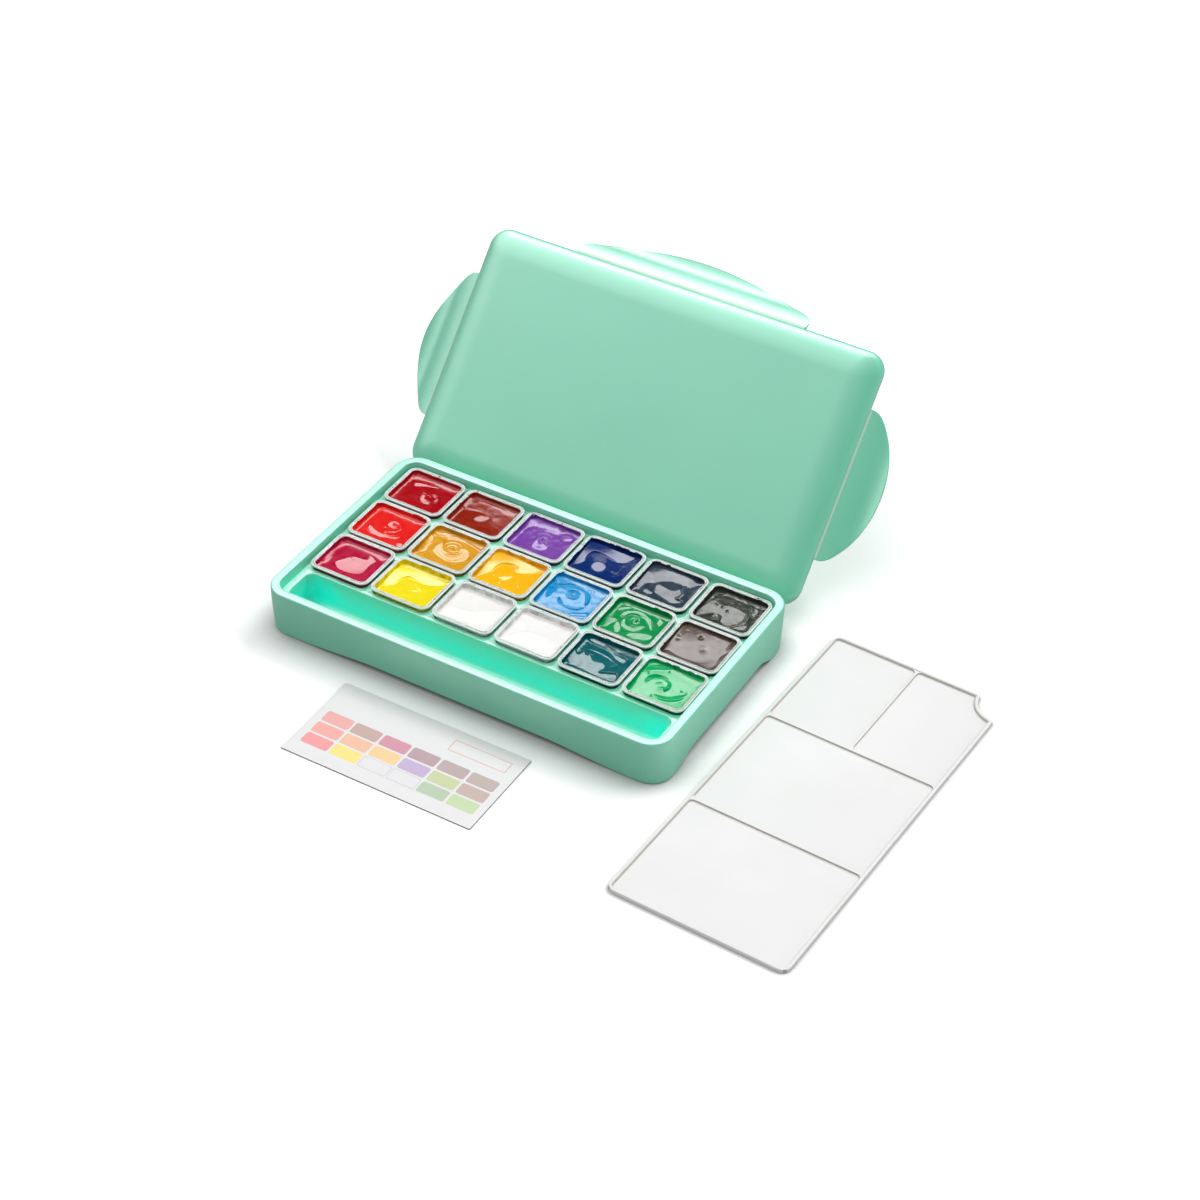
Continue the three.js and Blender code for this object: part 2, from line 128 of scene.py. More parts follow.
# Flaps: the length of the hinge, the reach in the middle and at the shoulders
LONG_FLAP = (178, 25.2, 11.8)
SIDE_FLAP = (106, 27, 12)
FLAP_THICKNESS = 2
HINGE_GAP = 0.3
FLAP_END_REACH = 2
FLAP_END_RUN = 7
FLAP_BEND_SHARE = 0.5
FLAP_LIP_SHARE = 0.95
FLAP_BEND_TURN = math.radians(22)
FLAP_LIP_TURN = math.radians(22)
FLAP_EDGE_ROUND = 0.7
WEB_THICKNESS = 0.45
WEB_PROUD = 0.12
WEB_ROOT = 0.45
WEB_LAP = 1
WEB_END_GAP = 0.8

# Palette
PALETTE_CLEARANCE = 2
PALETTE_WIDTH = 125
PALETTE_HEIGHT = 3
PALETTE_WALL = 2
PALETTE_FLOOR = 1.2
PALETTE_CORNER_RADIUS = 6
PALETTE_TOP_ROUND = 0.45
PALETTE_SMALL_ROUND = 0.3
NOTCH_RADIUS = 18
NOTCH_TIP_RADIUS = 0.8
WELL_RADIUS = 3
WELL_LEDGE = 0.4
WELL_MOUTH_ROUND = 0.3
WELL_FLOOR_ROUND = 0.8
WELL_LEAST_RADIUS = 0.3
DIVIDER_WIDTH = 1.8
DIVIDER_BELOW_WALL = 0.4
NEAR_DIVIDER_SHARE = 0.338
FAR_DIVIDER_SHARE = 0.671
SPLIT_DIVIDER_SHARE = 0.495
PALETTE_SIDE_GAP = 19.5
PALETTE_FORWARD = 39.4
PALETTE_TURN = math.radians(-2.46)

# Colour card
CARD_CORNER_RADIUS = 1
PLATE_EDGE_ROUND = 0.1
INK_LIFT = 0.03
INK_THICKNESS = 0.03

# A face counts as part of a wall where its normal rises by less than this
STEEP = 0.8

# The card's print, in shares of its length and depth, and its inks from 0 to 255
SWATCH_LEFT_SHARE = 0.045
SWATCH_TOP_SHARE = 0.3836
SWATCH_WIDTH_SHARE = 0.1427
SWATCH_DEPTH_SHARE = 0.137
SWATCH_PITCH_X_SHARE = 0.1547
SWATCH_PITCH_Y_SHARE = 0.16
SWATCH_CORNER_RADIUS = 1.6
SWATCH_INKS = [
    [(224, 152, 146), (182, 146, 140), (198, 120, 142), (164, 134, 142), (168, 146, 146), (172, 152, 146)],
    [(230, 150, 140), (228, 172, 138), (240, 192, 128), (178, 156, 196), (182, 194, 140), (180, 156, 146)],
    [(232, 132, 134), (240, 212, 100), (216, 214, 218), (216, 214, 218), (164, 184, 156), (180, 202, 150)],
]
SWATCH_LINE = 0.25
SWATCH_LINE_INK = (172, 172, 178)
WHITE_INK_FLOOR = 210
FRAME_LEFT_SHARE = 0.64
FRAME_TOP_SHARE = 0.12
FRAME_WIDTH_SHARE = 0.3
FRAME_DEPTH_SHARE = 0.14
FRAME_LINE = 0.35
FRAME_INK = (226, 112, 100)

# Plastics, in the renderer's linear numbers
MINT = (0.18, 0.71, 0.48, 1)
# The brighter mint that hollows take on, found by an occlusion test within a reach: painted bounce light
HOLLOW_GLOW_MINT = (0.0, 1, 0.84, 1)
HOLLOW_REACH = 30
HOLLOW_RANGE = (0.4, 0.72)
COAT_ROUGHNESS = 0.42
COAT_IOR = 2.1
FLANGE_PALE = (0.86, 0.91, 0.89, 1)
GROOVE_PALE = (0.74, 0.84, 0.8, 1)
CUP_PALE = (0.9, 0.92, 0.92, 1)
HINGE_PALE = (0.66, 0.8, 0.72, 1)
PALETTE_WHITE = (0.845, 0.845, 0.84, 1)
# The grey-beige of the wells' steep walls: painted shade
WELL_PAINTED_SHADE = (0.5, 0.46, 0.4, 1)
BOARD_NEAR = (0.7, 0.69, 0.7, 1)
# The board is lighter towards its far edge, over these shares of its depth: painted light
BOARD_FAR_PAINTED_LIGHT = (0.81, 0.81, 0.815, 1)
BOARD_PAINTED_LIGHT_SHARES = (0.6, 1)
# Dark grey-brown given to the card's steep edge faces
CARD_EDGE_DARK = (104, 101, 98)

# Light: azimuth, elevation, span across and up in degrees, and brightness where 1 is white
LAMP_DISTANCE = 3500
BACK_SOFTBOX = (29, 55, 46, 14, 10.5)
REAR_SOFTBOX = (330, 50, 46, 20, 5.6)
SIDE_SOFTBOX = (88, 48, 70, 50, 2.5)
TOP_SOFTBOX = (148, 64, 60, 60, 1.25)
RIGHT_SOFTBOX = (282, 15, 40, 30, 1.15)
SKY_DIFFUSE = 0.28
SKY_GLOSSY = 0.05

# The table, a plain white sweep that keeps the shadows, darkened by a painted shadow near what stands on
# it, and fades to white far away
TABLE_SIZE = 9000
FLOOR_DROP = 0.05
TABLE_BOUNCE = 0.55
TABLE_MIRRORED = 0.45
TABLE_WHITE = 1.25
TABLE_FADE = (700, 1200)
PAINTED_SHADOW_REACH = 20
PAINTED_SHADOW_DEPTH = 0.76

# Paint fillings
PAINT_BELOW_FLANGE = 4.3
PAINT_RISE = 1.7
PAINT_EDGE_INSET = 0.3
PAINT_SIDE_GAP = 0.03
PAINT_GRID = (97, 89)

# Strokes in the paint: the window they were read in, its shift, and the way to the camera
READ_HALF = (20, 18)
READ_SHIFT = (-0.04, 0.055)
VIEWER = (0.489, -0.872)
COMB_PLACES = (25, 33, 41, 49)
STROKE_PLACES = (0, 12, 25, 40, 52)
BUBBLE_PLACES = ((-75, 31), (56, 10), (-18, -62), (-19, 73))

# The film of paint smeared up the wall of a cup and over its flange
PAINT_FILM = 0.12
FILM_SHARES = (0.3, 0.6, 0.8, 0.87, 0.93, 1)
# How much darker the film up the walls is: painted shade
FILM_PAINTED_SHADE = 0.5
FILM_ROUGHNESS = 0.3
FILM_LEAST_SHARE = 0.05
FILM_FULL_SHARE = 0.97
FILM_WAVES = range(3, 24)
LAP_WAVES = range(9, 40)
LAP_BIAS = 0.3

# Uneven surfaces: the scale of each noise, with its detail, roughness and distortion
MOULD_CLOUDS = (9, 3, 0.55)
MOULD_GLOSS = (60,)
MOULD_SINKS = (26, 1, 0.4)
MOULD_GRAIN = (1900, 2, 0.6)
CUP_CLOUDS = (70,)
CUP_GRAIN = (420,)
PAINT_STREAKS = (85, 3, 0.6, 1.6)
PAINT_GLOSS = (240, 3)
PAINT_RIPPLE = (520, 3, 0.6, 0.8)
BOARD_FIBRES = (900, 4, 0.7)
BOARD_GLOSS = (150,)

# How finely curves are divided
CORNER_STEPS = 12
TRAY_SIDE_STEPS = 48
TRAY_WALL_STEPS = 12
DOME_STEPS = 24
FLAP_STEPS = 24
FLAP_ARC_STEPS = 64
FLAP_END_STEPS = 12
FLAP_EDGE_STEPS = 8
WEB_STEPS = 8
OCCLUSION_SAMPLES = 8


def rounded_rect(width, depth, radius, inset=0, steps=CORNER_STEPS, straight=1):
    """Outline of a rounded rectangle, drawn in by an inset, anticlockwise seen from above."""
    corner = max(radius - inset, radius / 4)
    arcs = []
    for side_x, side_y, turn in ((1, 1, 0), (-1, 1, 1), (-1, -1, 2), (1, -1, 3)):
        centre = np.array([side_x * ((width - 2 * inset) / 2 - corner),
                           side_y * ((depth - 2 * inset) / 2 - corner)])
        angles = (turn + np.linspace(0, 1, steps + 1)) * math.pi / 2
        arcs.append(centre + corner * np.stack([np.cos(angles), np.sin(angles)], 1))
    points = []
    for index, arc in enumerate(arcs):
        points.append(arc)
        if straight > 1:
            shares = np.linspace(0, 1, straight + 1)[1:-1, None]
            points.append(arc[-1] + shares * (arcs[(index + 1) % 4][0] - arc[-1]))
    return np.concatenate(points)


def raise_outline(outline, height):
    """Outline with a height for each point, or one for all."""
    heights = np.broadcast_to(np.asarray(height, float), (len(outline),))
    return np.column_stack([outline, heights])


# Which way each kind of round is drawn in from its wall, which way it leaves its flat, and
# whether its rings run from the flat to the wall
ROUNDS = {"foot": (1, 1, 1), "top": (1, -1, -1), "mouth": (-1, -1, 1), "floor": (1, 1, -1)}


def rounded(kind, steps, radius, wall, level):
    """Insets and heights round the quarter circle that joins a wall and a flat."""
    inward, upward, order = ROUNDS[kind]
    return [(wall + inward * (radius - radius * math.sin(angle)),
             level + upward * radius * (1 - math.cos(angle)))
            for angle in np.linspace(0, math.pi / 2, steps + 1)[::order]]


def rings_at(outline_at, spots):
    """Rings of an outline at insets and heights."""
    return [raise_outline(outline_at(inset), height) for inset, height in spots]


def shifted(rings, x, y):
    """Rings moved in plan."""
    return [ring + np.array([x, y, 0]) for ring in rings]


def stand_at(spot):
    """Place on the table, straight under or over a spot."""
    return Matrix.Translation((spot[0], spot[1], 0))


def put_in_scene(name, data):
    """A new object that holds a mesh, a lamp or a camera."""
    item = bpy.data.objects.new(name, data)
    bpy.context.scene.collection.objects.link(item)
    return item


class Shell:
    """A mesh put together from rings of points."""

    def __init__(self):
        self.mesh = bmesh.new()

    def ring(self, points):
        return [self.mesh.verts.new(point) for point in points]

    def cap(self, ring):
        self.mesh.faces.new(ring)

    def bridge(self, first, second):
        count = len(first)
        for index in range(count):
            follower = (index + 1) % count
            self.mesh.faces.new((first[index], first[follower], second[follower], second[index]))

    def loft(self, rings, start=None):
        """Joins rings of points one after another and returns the first and the last."""
        made = [start] if start else []
        made += [self.ring(points) for points in rings]
        for first, second in zip(made, made[1:]):
            self.bridge(first, second)
        return made[0], made[-1]

    def pit(self, rings, start=None):
        """Joins rings, closes the last of them and returns the first."""
        first, last = self.loft(rings, start)
        self.cap(last)
        return first

    def solid(self, rings):
        """Joins rings and closes both ends."""
        for end in self.loft(rings):
            self.cap(end)

    def fill(self, rings, normal):
        """Fills the space between an outer ring and the rings of its holes."""
        edges = []
        for ring in rings:
            for index, vertex in enumerate(ring):
                ends = (vertex, ring[(index + 1) % len(ring)])
                edges.append(self.mesh.edges.get(ends) or self.mesh.edges.new(ends))
        bmesh.ops.triangle_fill(self.mesh, use_beauty=True, edges=edges, normal=normal)

    def finish(self, name, material, place=Matrix(), sharp=35):
        """Turns the shell into an object in metres, smooth but for its sharp edges."""
        bmesh.ops.recalc_face_normals(self.mesh, faces=self.mesh.faces)
        data = bpy.data.meshes.new(name)
        self.mesh.to_mesh(data)
        self.mesh.free()
        data.transform(Matrix.Scale(MM, 4) @ place)
        data.shade_smooth()
        data.set_sharp_from_angle(angle=math.radians(sharp))
        data.materials.append(material)
        return put_in_scene(name, data)


def dress(piece, body, slot, *nodes):
    """Says what a finished piece rides on and stands for; the finish it names is not used."""
    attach(piece, body)
    if nodes:
        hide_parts(*nodes)


def colour(levels):
    """A colour as it shows on screen, from 0 to 255, in the renderer's linear numbers."""
    linear = []
    for level in levels:
        share = level / 255
        linear.append(share / 12.92 if share <= 0.04045 else ((share + 0.055) / 1.055) ** 2.4)
    return (*linear, 1)


def shaded(base, factor):
    """A linear colour made lighter or darker."""
    return (*[min(1, part * factor) for part in base[:3]], 1)


def feed(tree, value, socket):
    """Links what a node gives to a socket, or sets the socket to a plain value."""
    if hasattr(value, "is_linked"):
        tree.links.new(value, socket)
    else:
        socket.default_value = value


def by_ray(tree, otherwise, *rays):
    """A value that depends on the kind of ray; a later kind goes before an earlier one."""
    path = tree.nodes.new("ShaderNodeLightPath")
    for ray, value in rays:
        mixer = tree.nodes.new("ShaderNodeMix")
        for key, source in ((0, path.outputs[ray]), (2, otherwise), (3, value)):
            feed(tree, source, mixer.inputs[key])
        otherwise = mixer.outputs[0]
    return otherwise


class Finish:
    """A node material built round one Principled shader."""

    def __init__(self, name):
        self.material = bpy.data.materials.new(name)
        self.material.use_nodes = True
        self.tree = self.material.node_tree
        self.place = self.add("ShaderNodeTexCoord").outputs["Object"]

    def add(self, kind, inputs=None, **settings):
        """A new node, whose inputs are given by their names or numbers."""
        node = self.tree.nodes.new(kind)
        for key, value in settings.items():
            setattr(node, key, value)
        for key, value in (inputs or {}).items():
            feed(self.tree, value, node.inputs[key])
        return node

    def noise(self, scale, detail=2, roughness=0.5, distortion=0):
        node = self.add("ShaderNodeTexNoise", {
            "Vector": self.place, "Scale": scale, "Detail": detail, "Roughness": roughness,
            "Distortion": distortion})
        return node.outputs["Fac"]

    def ramp(self, factor, first, last, start=0.3, end=0.7):
        node = self.add("ShaderNodeValToRGB", {"Fac": factor})
        for element, position, tint in zip(node.color_ramp.elements, (start, end), (first, last)):
            element.position = position
            element.color = tint
        return node.outputs["Color"]

    def spread(self, factor, low, high, from_low=0.3, from_high=0.7):
        node = self.add("ShaderNodeMapRange", {
            "Value": factor, "From Min": from_low, "From Max": from_high, "To Min": low,
            "To Max": high})
        return node.outputs["Result"]

    def hollow(self, reach, **settings):
        """How open a place is within a reach, from 0 in a deep hollow to 1 on a flat."""
        node = self.add("ShaderNodeAmbientOcclusion", {"Distance": reach * MM},
                        samples=OCCLUSION_SAMPLES, **settings)
        return node.outputs["AO"]

    def bump(self, height, distance, strength, under=None):
        inputs = {"Height": height, "Distance": distance, "Strength": strength}
        if under is not None:
            inputs["Normal"] = under
        return self.add("ShaderNodeBump", inputs).outputs["Normal"]

    def mix(self, factor, first, second):
        node = self.add("ShaderNodeMix", {0: factor, 6: first, 7: second}, data_type="RGBA")
        return node.outputs[2]

    def shade(self, **values):
        """Feeds the shader's inputs by their names and returns the finished material."""
        shader = self.tree.nodes["Principled BSDF"]
        for key, value in values.items():
            feed(self.tree, value, shader.inputs[key.replace("_", " ")])
        return self.material


def moulded_plastic(name, base, roughness, coat=0, deep=None, specular=0.5):
    """Satin moulded plastic: faint clouding, a fine moulded grain and soft sink marks.

    Hollows found by an occlusion test take on the deeper colour, where one is given: painted bounce light.
    """
    finish = Finish(name)
    tint = finish.ramp(finish.noise(*MOULD_CLOUDS), shaded(base, 0.97), shaded(base, 1.03))
    if deep is not None:
        # Painted bounce light: hollows turn to the deeper colour
        hollow = finish.hollow(HOLLOW_REACH, only_local=True)
        tint = finish.mix(finish.spread(hollow, 1, 0, *HOLLOW_RANGE), tint, deep)
    rough = finish.spread(finish.noise(*MOULD_GLOSS), roughness - 0.04, roughness + 0.05)
    sinks = finish.bump(finish.noise(*MOULD_SINKS), 0.0004, 0.25)
    grain = finish.bump(finish.noise(*MOULD_GRAIN), 0.00004, 0.5, sinks)
    return finish.shade(Base_Color=tint, Roughness=rough, Normal=grain, Coat_Weight=coat,
                        Coat_Roughness=COAT_ROUGHNESS, Coat_IOR=COAT_IOR,
                        Specular_IOR_Level=specular)


def cup_plastic(name, base, roughness, transmission):
    """Thin plastic that lets some light through, a little cloudy."""
    finish = Finish(name)
    clouds = finish.noise(*CUP_CLOUDS)
    return finish.shade(
        Base_Color=finish.ramp(clouds, shaded(base, 0.95), shaded(base, 1.05)),
        Roughness=finish.spread(clouds, roughness, roughness + 0.08),
        Normal=finish.bump(finish.noise(*CUP_GRAIN), 0.0001, 0.3),
        Transmission_Weight=transmission, IOR=1.5)


def wet_paint(name, base, streak, roughness):
    """Stiff wet gouache: opaque, glossy, with faint streaks of an uneven mix."""
    finish = Finish(name)
    return finish.shade(
        Base_Color=finish.ramp(finish.noise(*PAINT_STREAKS), base, streak, 0.32, 0.72),
        Roughness=finish.spread(finish.noise(*PAINT_GLOSS), roughness * 0.7, roughness * 1.5),
        Normal=finish.bump(finish.noise(*PAINT_RIPPLE), 0.00012, 0.35), IOR=1.39)


def printed_card(name, base, far=None):
    """Coated board: a faint paper tooth under a satin varnish, turning to a far colour towards its far
    edge where one is given: painted light.
    """
    finish = Finish(name)
    fibres = finish.noise(*BOARD_FIBRES)
    tint = finish.ramp(fibres, shaded(base, 0.975), shaded(base, 1.02))
    if far is not None:
        # Painted light: the board turns to the far colour towards its far edge
        along = finish.add("ShaderNodeSeparateXYZ", {0: finish.place}).outputs["Y"]
        limits = [(card_low[1] + share * card_depth) * MM for share in BOARD_PAINTED_LIGHT_SHARES]
        tint = finish.mix(finish.spread(along, 0, 1, *limits), tint, far)
    return finish.shade(
        Base_Color=tint, Roughness=finish.spread(finish.noise(*BOARD_GLOSS), 0.3, 0.42),
        Normal=finish.bump(fibres, 0.00002, 0.4))


def face_with(piece, material, chosen):
    """Gives one more material to the faces that a test picks."""
    piece.data.materials.append(material)
    slot = len(piece.data.materials) - 1
    for face in piece.data.polygons:
        if chosen(face):
            face.material_index = slot


card_low, card_high = node_box("colour_card")
card_length, card_depth, card_thickness = card_high - card_low

mint = moulded_plastic("mint_plastic", MINT, 0.4, 1, HOLLOW_GLOW_MINT)
flange_plastic = cup_plastic("cup_plastic", FLANGE_PALE, 0.3, 0.2)
groove_plastic = cup_plastic("cup_groove", GROOVE_PALE, 0.25, 0.5)
clear_plastic = cup_plastic("cup_wall", CUP_PALE, 0.06, 0.95)
hinge_plastic = moulded_plastic("hinge_plastic", HINGE_PALE, 0.4)
white_plastic = moulded_plastic("palette_plastic", PALETTE_WHITE, 0.45, specular=0.2)
well_painted_shade = moulded_plastic("palette_well_painted_shade", WELL_PAINTED_SHADE, 0.35)
card_stock = printed_card("card_stock", BOARD_NEAR, BOARD_FAR_PAINTED_LIGHT)
dark_edge_board = printed_card("card_dark_edge", colour(CARD_EDGE_DARK))

tray_low, tray_high = node_box("base_tray")
tray_centre = (tray_low + tray_high) / 2
tray_width, tray_depth, tray_height = tray_high - tray_low
deck_top = tray_height - DECK_DROP


def tray_outline(inset, height=None):
    """The tray's wall in plan, drawn in by an inset and, lower down, by its draft."""
    outline = rounded_rect(tray_width, tray_depth, TRAY_CORNER_RADIUS, inset,
                           straight=TRAY_SIDE_STEPS)
    if height is None:
        return outline
    share = (1 - height / tray_height) ** 2
    sides = np.column_stack([1 - 2 * SIDE_DRAFT * share / tray_width,
                             1 - 2 * FRONT_DRAFT * share / tray_depth])
    return outline * sides


def foot_rise():
    """Height of the tray's arched lower edge above the table, at each point of its outline."""
    outline = np.abs(tray_outline(0))
    rise = np.zeros(len(outline))
    for axis, length, across, foot, run, height in (
            (0, tray_width, tray_depth, FRONT_FOOT_LENGTH, FRONT_ARCH_RUN, FRONT_ARCH_HEIGHT),
            (1, tray_depth, tray_width, SIDE_FOOT_LENGTH, SIDE_ARCH_RUN, SIDE_ARCH_HEIGHT)):
        on_side = outline[:, 1 - axis] > across / 2 - RIM_OUTER_ROUND
        share = np.clip((length / 2 - foot - outline[:, axis]) / run, 0, 1)
        rise += np.where(on_side, height * (1 - np.cos(math.pi * share)) / 2, 0)
    return rise


def wall_rings(rise, inset, steps, top):
    """Rings up a wall of the tray, from its arched foot to a level top."""
    rings = []
    for share in np.linspace(0, 1, steps + 1):
        heights = rise + FOOT_EDGE_ROUND + (top - rise - FOOT_EDGE_ROUND) * share
        rings.append(raise_outline(tray_outline(inset, heights), heights))
    return rings


def tub_rings(width, depth, radius, mouth, floor, mouth_round, floor_round):
    """Rings from a rounded mouth down the walls to the edge of a floor."""
    return rings_at(lambda inset: rounded_rect(width, depth, radius, inset),
                    rounded("mouth", 4, mouth_round, 0, mouth)
                    + rounded("floor", 5, floor_round, 0, floor))


cup_names = [name[len("cup_"):] for name in frame["nodes"] if name.startswith("cup_")]
cup_boxes = {name: node_box("cup_" + name) for name in cup_names}
cup_centres = {name: (low + high) / 2 for name, (low, high) in cup_boxes.items()}
flange_low, flange_high = cup_boxes[cup_names[0]]
flange_width, flange_depth = (flange_high - flange_low)[:2]
cup_bottom = flange_low[2]
flange_top = flange_high[2]
under_flange = flange_top - FLANGE_THICKNESS
cup_top_width = flange_width - 2 * FLANGE_OVERHANG
cup_top_depth = flange_depth - 2 * FLANGE_OVERHANG
cup_top_radius = FLANGE_CORNER_RADIUS - FLANGE_OVERHANG


def make_tray():
    """The tray: walls and rim, deck and underside, and the trough and pockets sunk in it."""
    shell = Shell()
    rise = foot_rise()
    under_rim = tray_height - TRAY_WALL
    under_deck = deck_top - TRAY_WALL
    outside = wall_rings(rise, 0, TRAY_WALL_STEPS, tray_height - RIM_OUTER_ROUND)
    outside += rings_at(tray_outline, rounded("top", 5, RIM_OUTER_ROUND, 0, tray_height)
                        + rounded("mouth", 4, RIM_INNER_ROUND, RIM_WIDTH, tray_height)
                        + rounded("floor", 4, DECK_FILLET, RIM_WIDTH, deck_top))
    foot_outer, deck_edge = shell.loft(outside)
    inside = [raise_outline(tray_outline(inset, rise), rise)
              for inset in (FOOT_EDGE_ROUND, TRAY_WALL - FOOT_EDGE_ROUND)]
    inside += wall_rings(rise, TRAY_WALL, TRAY_WALL_STEPS // 2, under_rim)
    channel = RIM_WIDTH - TRAY_WALL
    inside += rings_at(tray_outline, [(channel, under_rim), (channel, under_deck)])
    under_edge = shell.loft(inside, foot_outer)[1]

    trough_y = TROUGH_SETBACK + TROUGH_DEPTH / 2 - tray_depth / 2
    tubs = [(0, trough_y, tray_width - 2 * TROUGH_SETBACK, TROUGH_DEPTH, TROUGH_CORNER_RADIUS,
             TROUGH_ABOVE_TABLE + TRAY_WALL, TROUGH_MOUTH_ROUND, TROUGH_FLOOR_ROUND)]
    pocket = (cup_top_width + 2 * POCKET_CLEARANCE, cup_top_depth + 2 * POCKET_CLEARANCE,
              cup_top_radius + POCKET_CLEARANCE, cup_bottom - SEAT_GAP, POCKET_MOUTH_ROUND,
              POCKET_FLOOR_ROUND)
    tubs += [(*(centre - tray_centre)[:2], *pocket) for centre in cup_centres.values()]
    mouths = []
    undersides = []
    for x, y, width, depth, radius, floor, mouth_round, floor_round in tubs:
        rings = tub_rings(width, depth, radius, deck_top, floor, mouth_round, floor_round)
        mouths.append(shell.pit(shifted(rings, x, y)))
        # A sharp mouth needs only one of its rings
        rings = tub_rings(width + 2 * TUB_WALL, depth + 2 * TUB_WALL, radius + TUB_WALL,
                          under_deck, floor - TRAY_WALL, 0, floor_round)
        undersides.append(shell.pit(shifted(rings[4:], x, y)))
    shell.fill([deck_edge, *mouths], (0, 0, 1))
    shell.fill([under_edge, *undersides], (0, 0, -1))
    tray = shell.finish("tray_body", mint, stand_at(tray_centre))
    dress(tray, "tray", "mint_plastic", "base_tray")


def cup_section(inset, height):
    """Half sizes and corner radius of a cup's tapered wall, drawn in by an inset."""
    share = (under_flange - height) / (under_flange - cup_bottom)
    drawn = inset + CUP_TAPER * share
    radius = cup_top_radius + (CUP_FLOOR_RADIUS - cup_top_radius) * share - inset
    return cup_top_width / 2 - drawn, cup_top_depth / 2 - drawn, max(radius, CUP_LEAST_RADIUS)


def cup_outline(inset, height=under_flange):
    """A cup's tapered wall in plan."""
    half_width, half_depth, radius = cup_section(inset, height)
    return rounded_rect(2 * half_width, 2 * half_depth, radius)


def cup_rings(spots):
    """Rings of a cup's tapered wall at insets and heights."""
    return [raise_outline(cup_outline(inset, height), height) for inset, height in spots]


def flange_outline(inset):
    """The cup's flange in plan, drawn in by an inset."""
    return rounded_rect(flange_width, flange_depth, FLANGE_CORNER_RADIUS, inset)


def make_cup(name):
    """A thin cup, outside first: floor, wall, flange with its groove, and the inside."""
    shell = Shell()
    rings = cup_rings(rounded("foot", 4, CUP_FLOOR_ROUND, 0, cup_bottom))
    rings += rings_at(cup_outline, [(0, under_flange - FLANGE_EDGE_ROUND),
                                    (-FLANGE_EDGE_ROUND, under_flange)])
    rings += rings_at(flange_outline, rounded("foot", 3, FLANGE_EDGE_ROUND, 0, under_flange)
                      + rounded("top", 4, FLANGE_EDGE_ROUND, 0, flange_top))
    groove_start = len(rings)
    rings += rings_at(flange_outline, [(inset, flange_top - FLANGE_GROOVE * share)
                                       for inset, share in GROOVE_PROFILE])
    groove_end = len(rings) - 1
    rings += rings_at(cup_outline, rounded("mouth", 3, FLANGE_EDGE_ROUND, CUP_WALL, flange_top))
    rings += cup_rings(rounded("floor", 4, CUP_FLOOR_ROUND, CUP_WALL, cup_bottom + CUP_WALL))
    shell.solid(rings)
    cup = shell.finish("cup_wall_" + name, flange_plastic, stand_at(cup_centres[name]), sharp=50)
    around = len(rings[0])
    face_with(cup, clear_plastic, lambda face: face.center.z < under_flange * MM)
    face_with(cup, groove_plastic,
              lambda face: around * groove_start <= face.index < around * groove_end)
    dress(cup, name + "_cup", "cup_plastic", "cup_" + name)


make_tray()
for cup_name in cup_names:
    make_cup(cup_name)


def lid_frame():
    """Place of the lid: X along its width, Y up its slope, Z out of its face."""
    lower, right, upper, left = (Vector(joints[side + "_flap_hinge"]["pos_m"]) / MM
                                 for side in ("lower", "right", "upper", "left"))
    along = (right - left).normalized()
    slope = (upper - lower).normalized()
    out = along.cross(slope).normalized()
    middle = (upper + lower) / 2 + out * LID_SKIRT
    turn = Matrix((along, slope, out)).transposed().to_4x4()
    return Matrix.Translation(middle) @ turn, (right - left).length, (upper - lower).length, out


lid_place, lid_width, lid_depth, lid_out = lid_frame()


def dome_ring(inset, angle):
    """Outline of the lid's dome at an angle of its rounded edge, drawn in by the wall."""
    share = 1 - math.cos(angle)
    drawn = inset + (DOME_WIDTH - inset) * share
    radius = (LID_CORNER_RADIUS - inset) * (1 - share) + DOME_CORNER_RADIUS * share
    outline = rounded_rect(lid_width - 2 * drawn, lid_depth - 2 * drawn, radius)
    return raise_outline(outline, (DOME_HEIGHT - inset) * math.sin(angle))


def make_lid():
    """The lid: a shell with a wide rounded edge, open at the back."""
    shell = Shell()
    angles = np.linspace(0, math.pi / 2, DOME_STEPS + 1)
    outer = [dome_ring(0, angle) for angle in angles]
    inner = [dome_ring(LID_WALL, angle) for angle in angles]
    edge = rings_at(lambda inset: rounded_rect(lid_width, lid_depth, LID_CORNER_RADIUS, inset),
                    rounded("foot", 3, LID_EDGE_ROUND, 0, -LID_SKIRT))
    foot = shell.pit(edge + outer)
    foot_inside = inner[0] * [1, 1, 0] - [0, 0, LID_SKIRT]
    shell.pit([foot_inside] + inner, foot)
    dress(shell.finish("lid_dome", mint, lid_place), "lid", "mint_plastic", "lid_shell")


def flap_face(distance, reach):
    """Height of a flap's outer face at a distance from its hinge: bends away, then lifts."""
    bend_slope, lip_slope = math.tan(FLAP_BEND_TURN), math.tan(FLAP_LIP_TURN)
    bend_run = reach * FLAP_BEND_SHARE
    knee_run = reach * (FLAP_LIP_SHARE - FLAP_BEND_SHARE)
    bend = -bend_slope * np.minimum(distance, bend_run) ** 2 / (2 * bend_run)
    past = np.clip(distance - bend_run, 0, knee_run)
    knee = -bend_slope * past + (bend_slope + lip_slope) * past ** 2 / (2 * knee_run)
    return bend + knee + lip_slope * np.maximum(distance - bend_run - knee_run, 0)


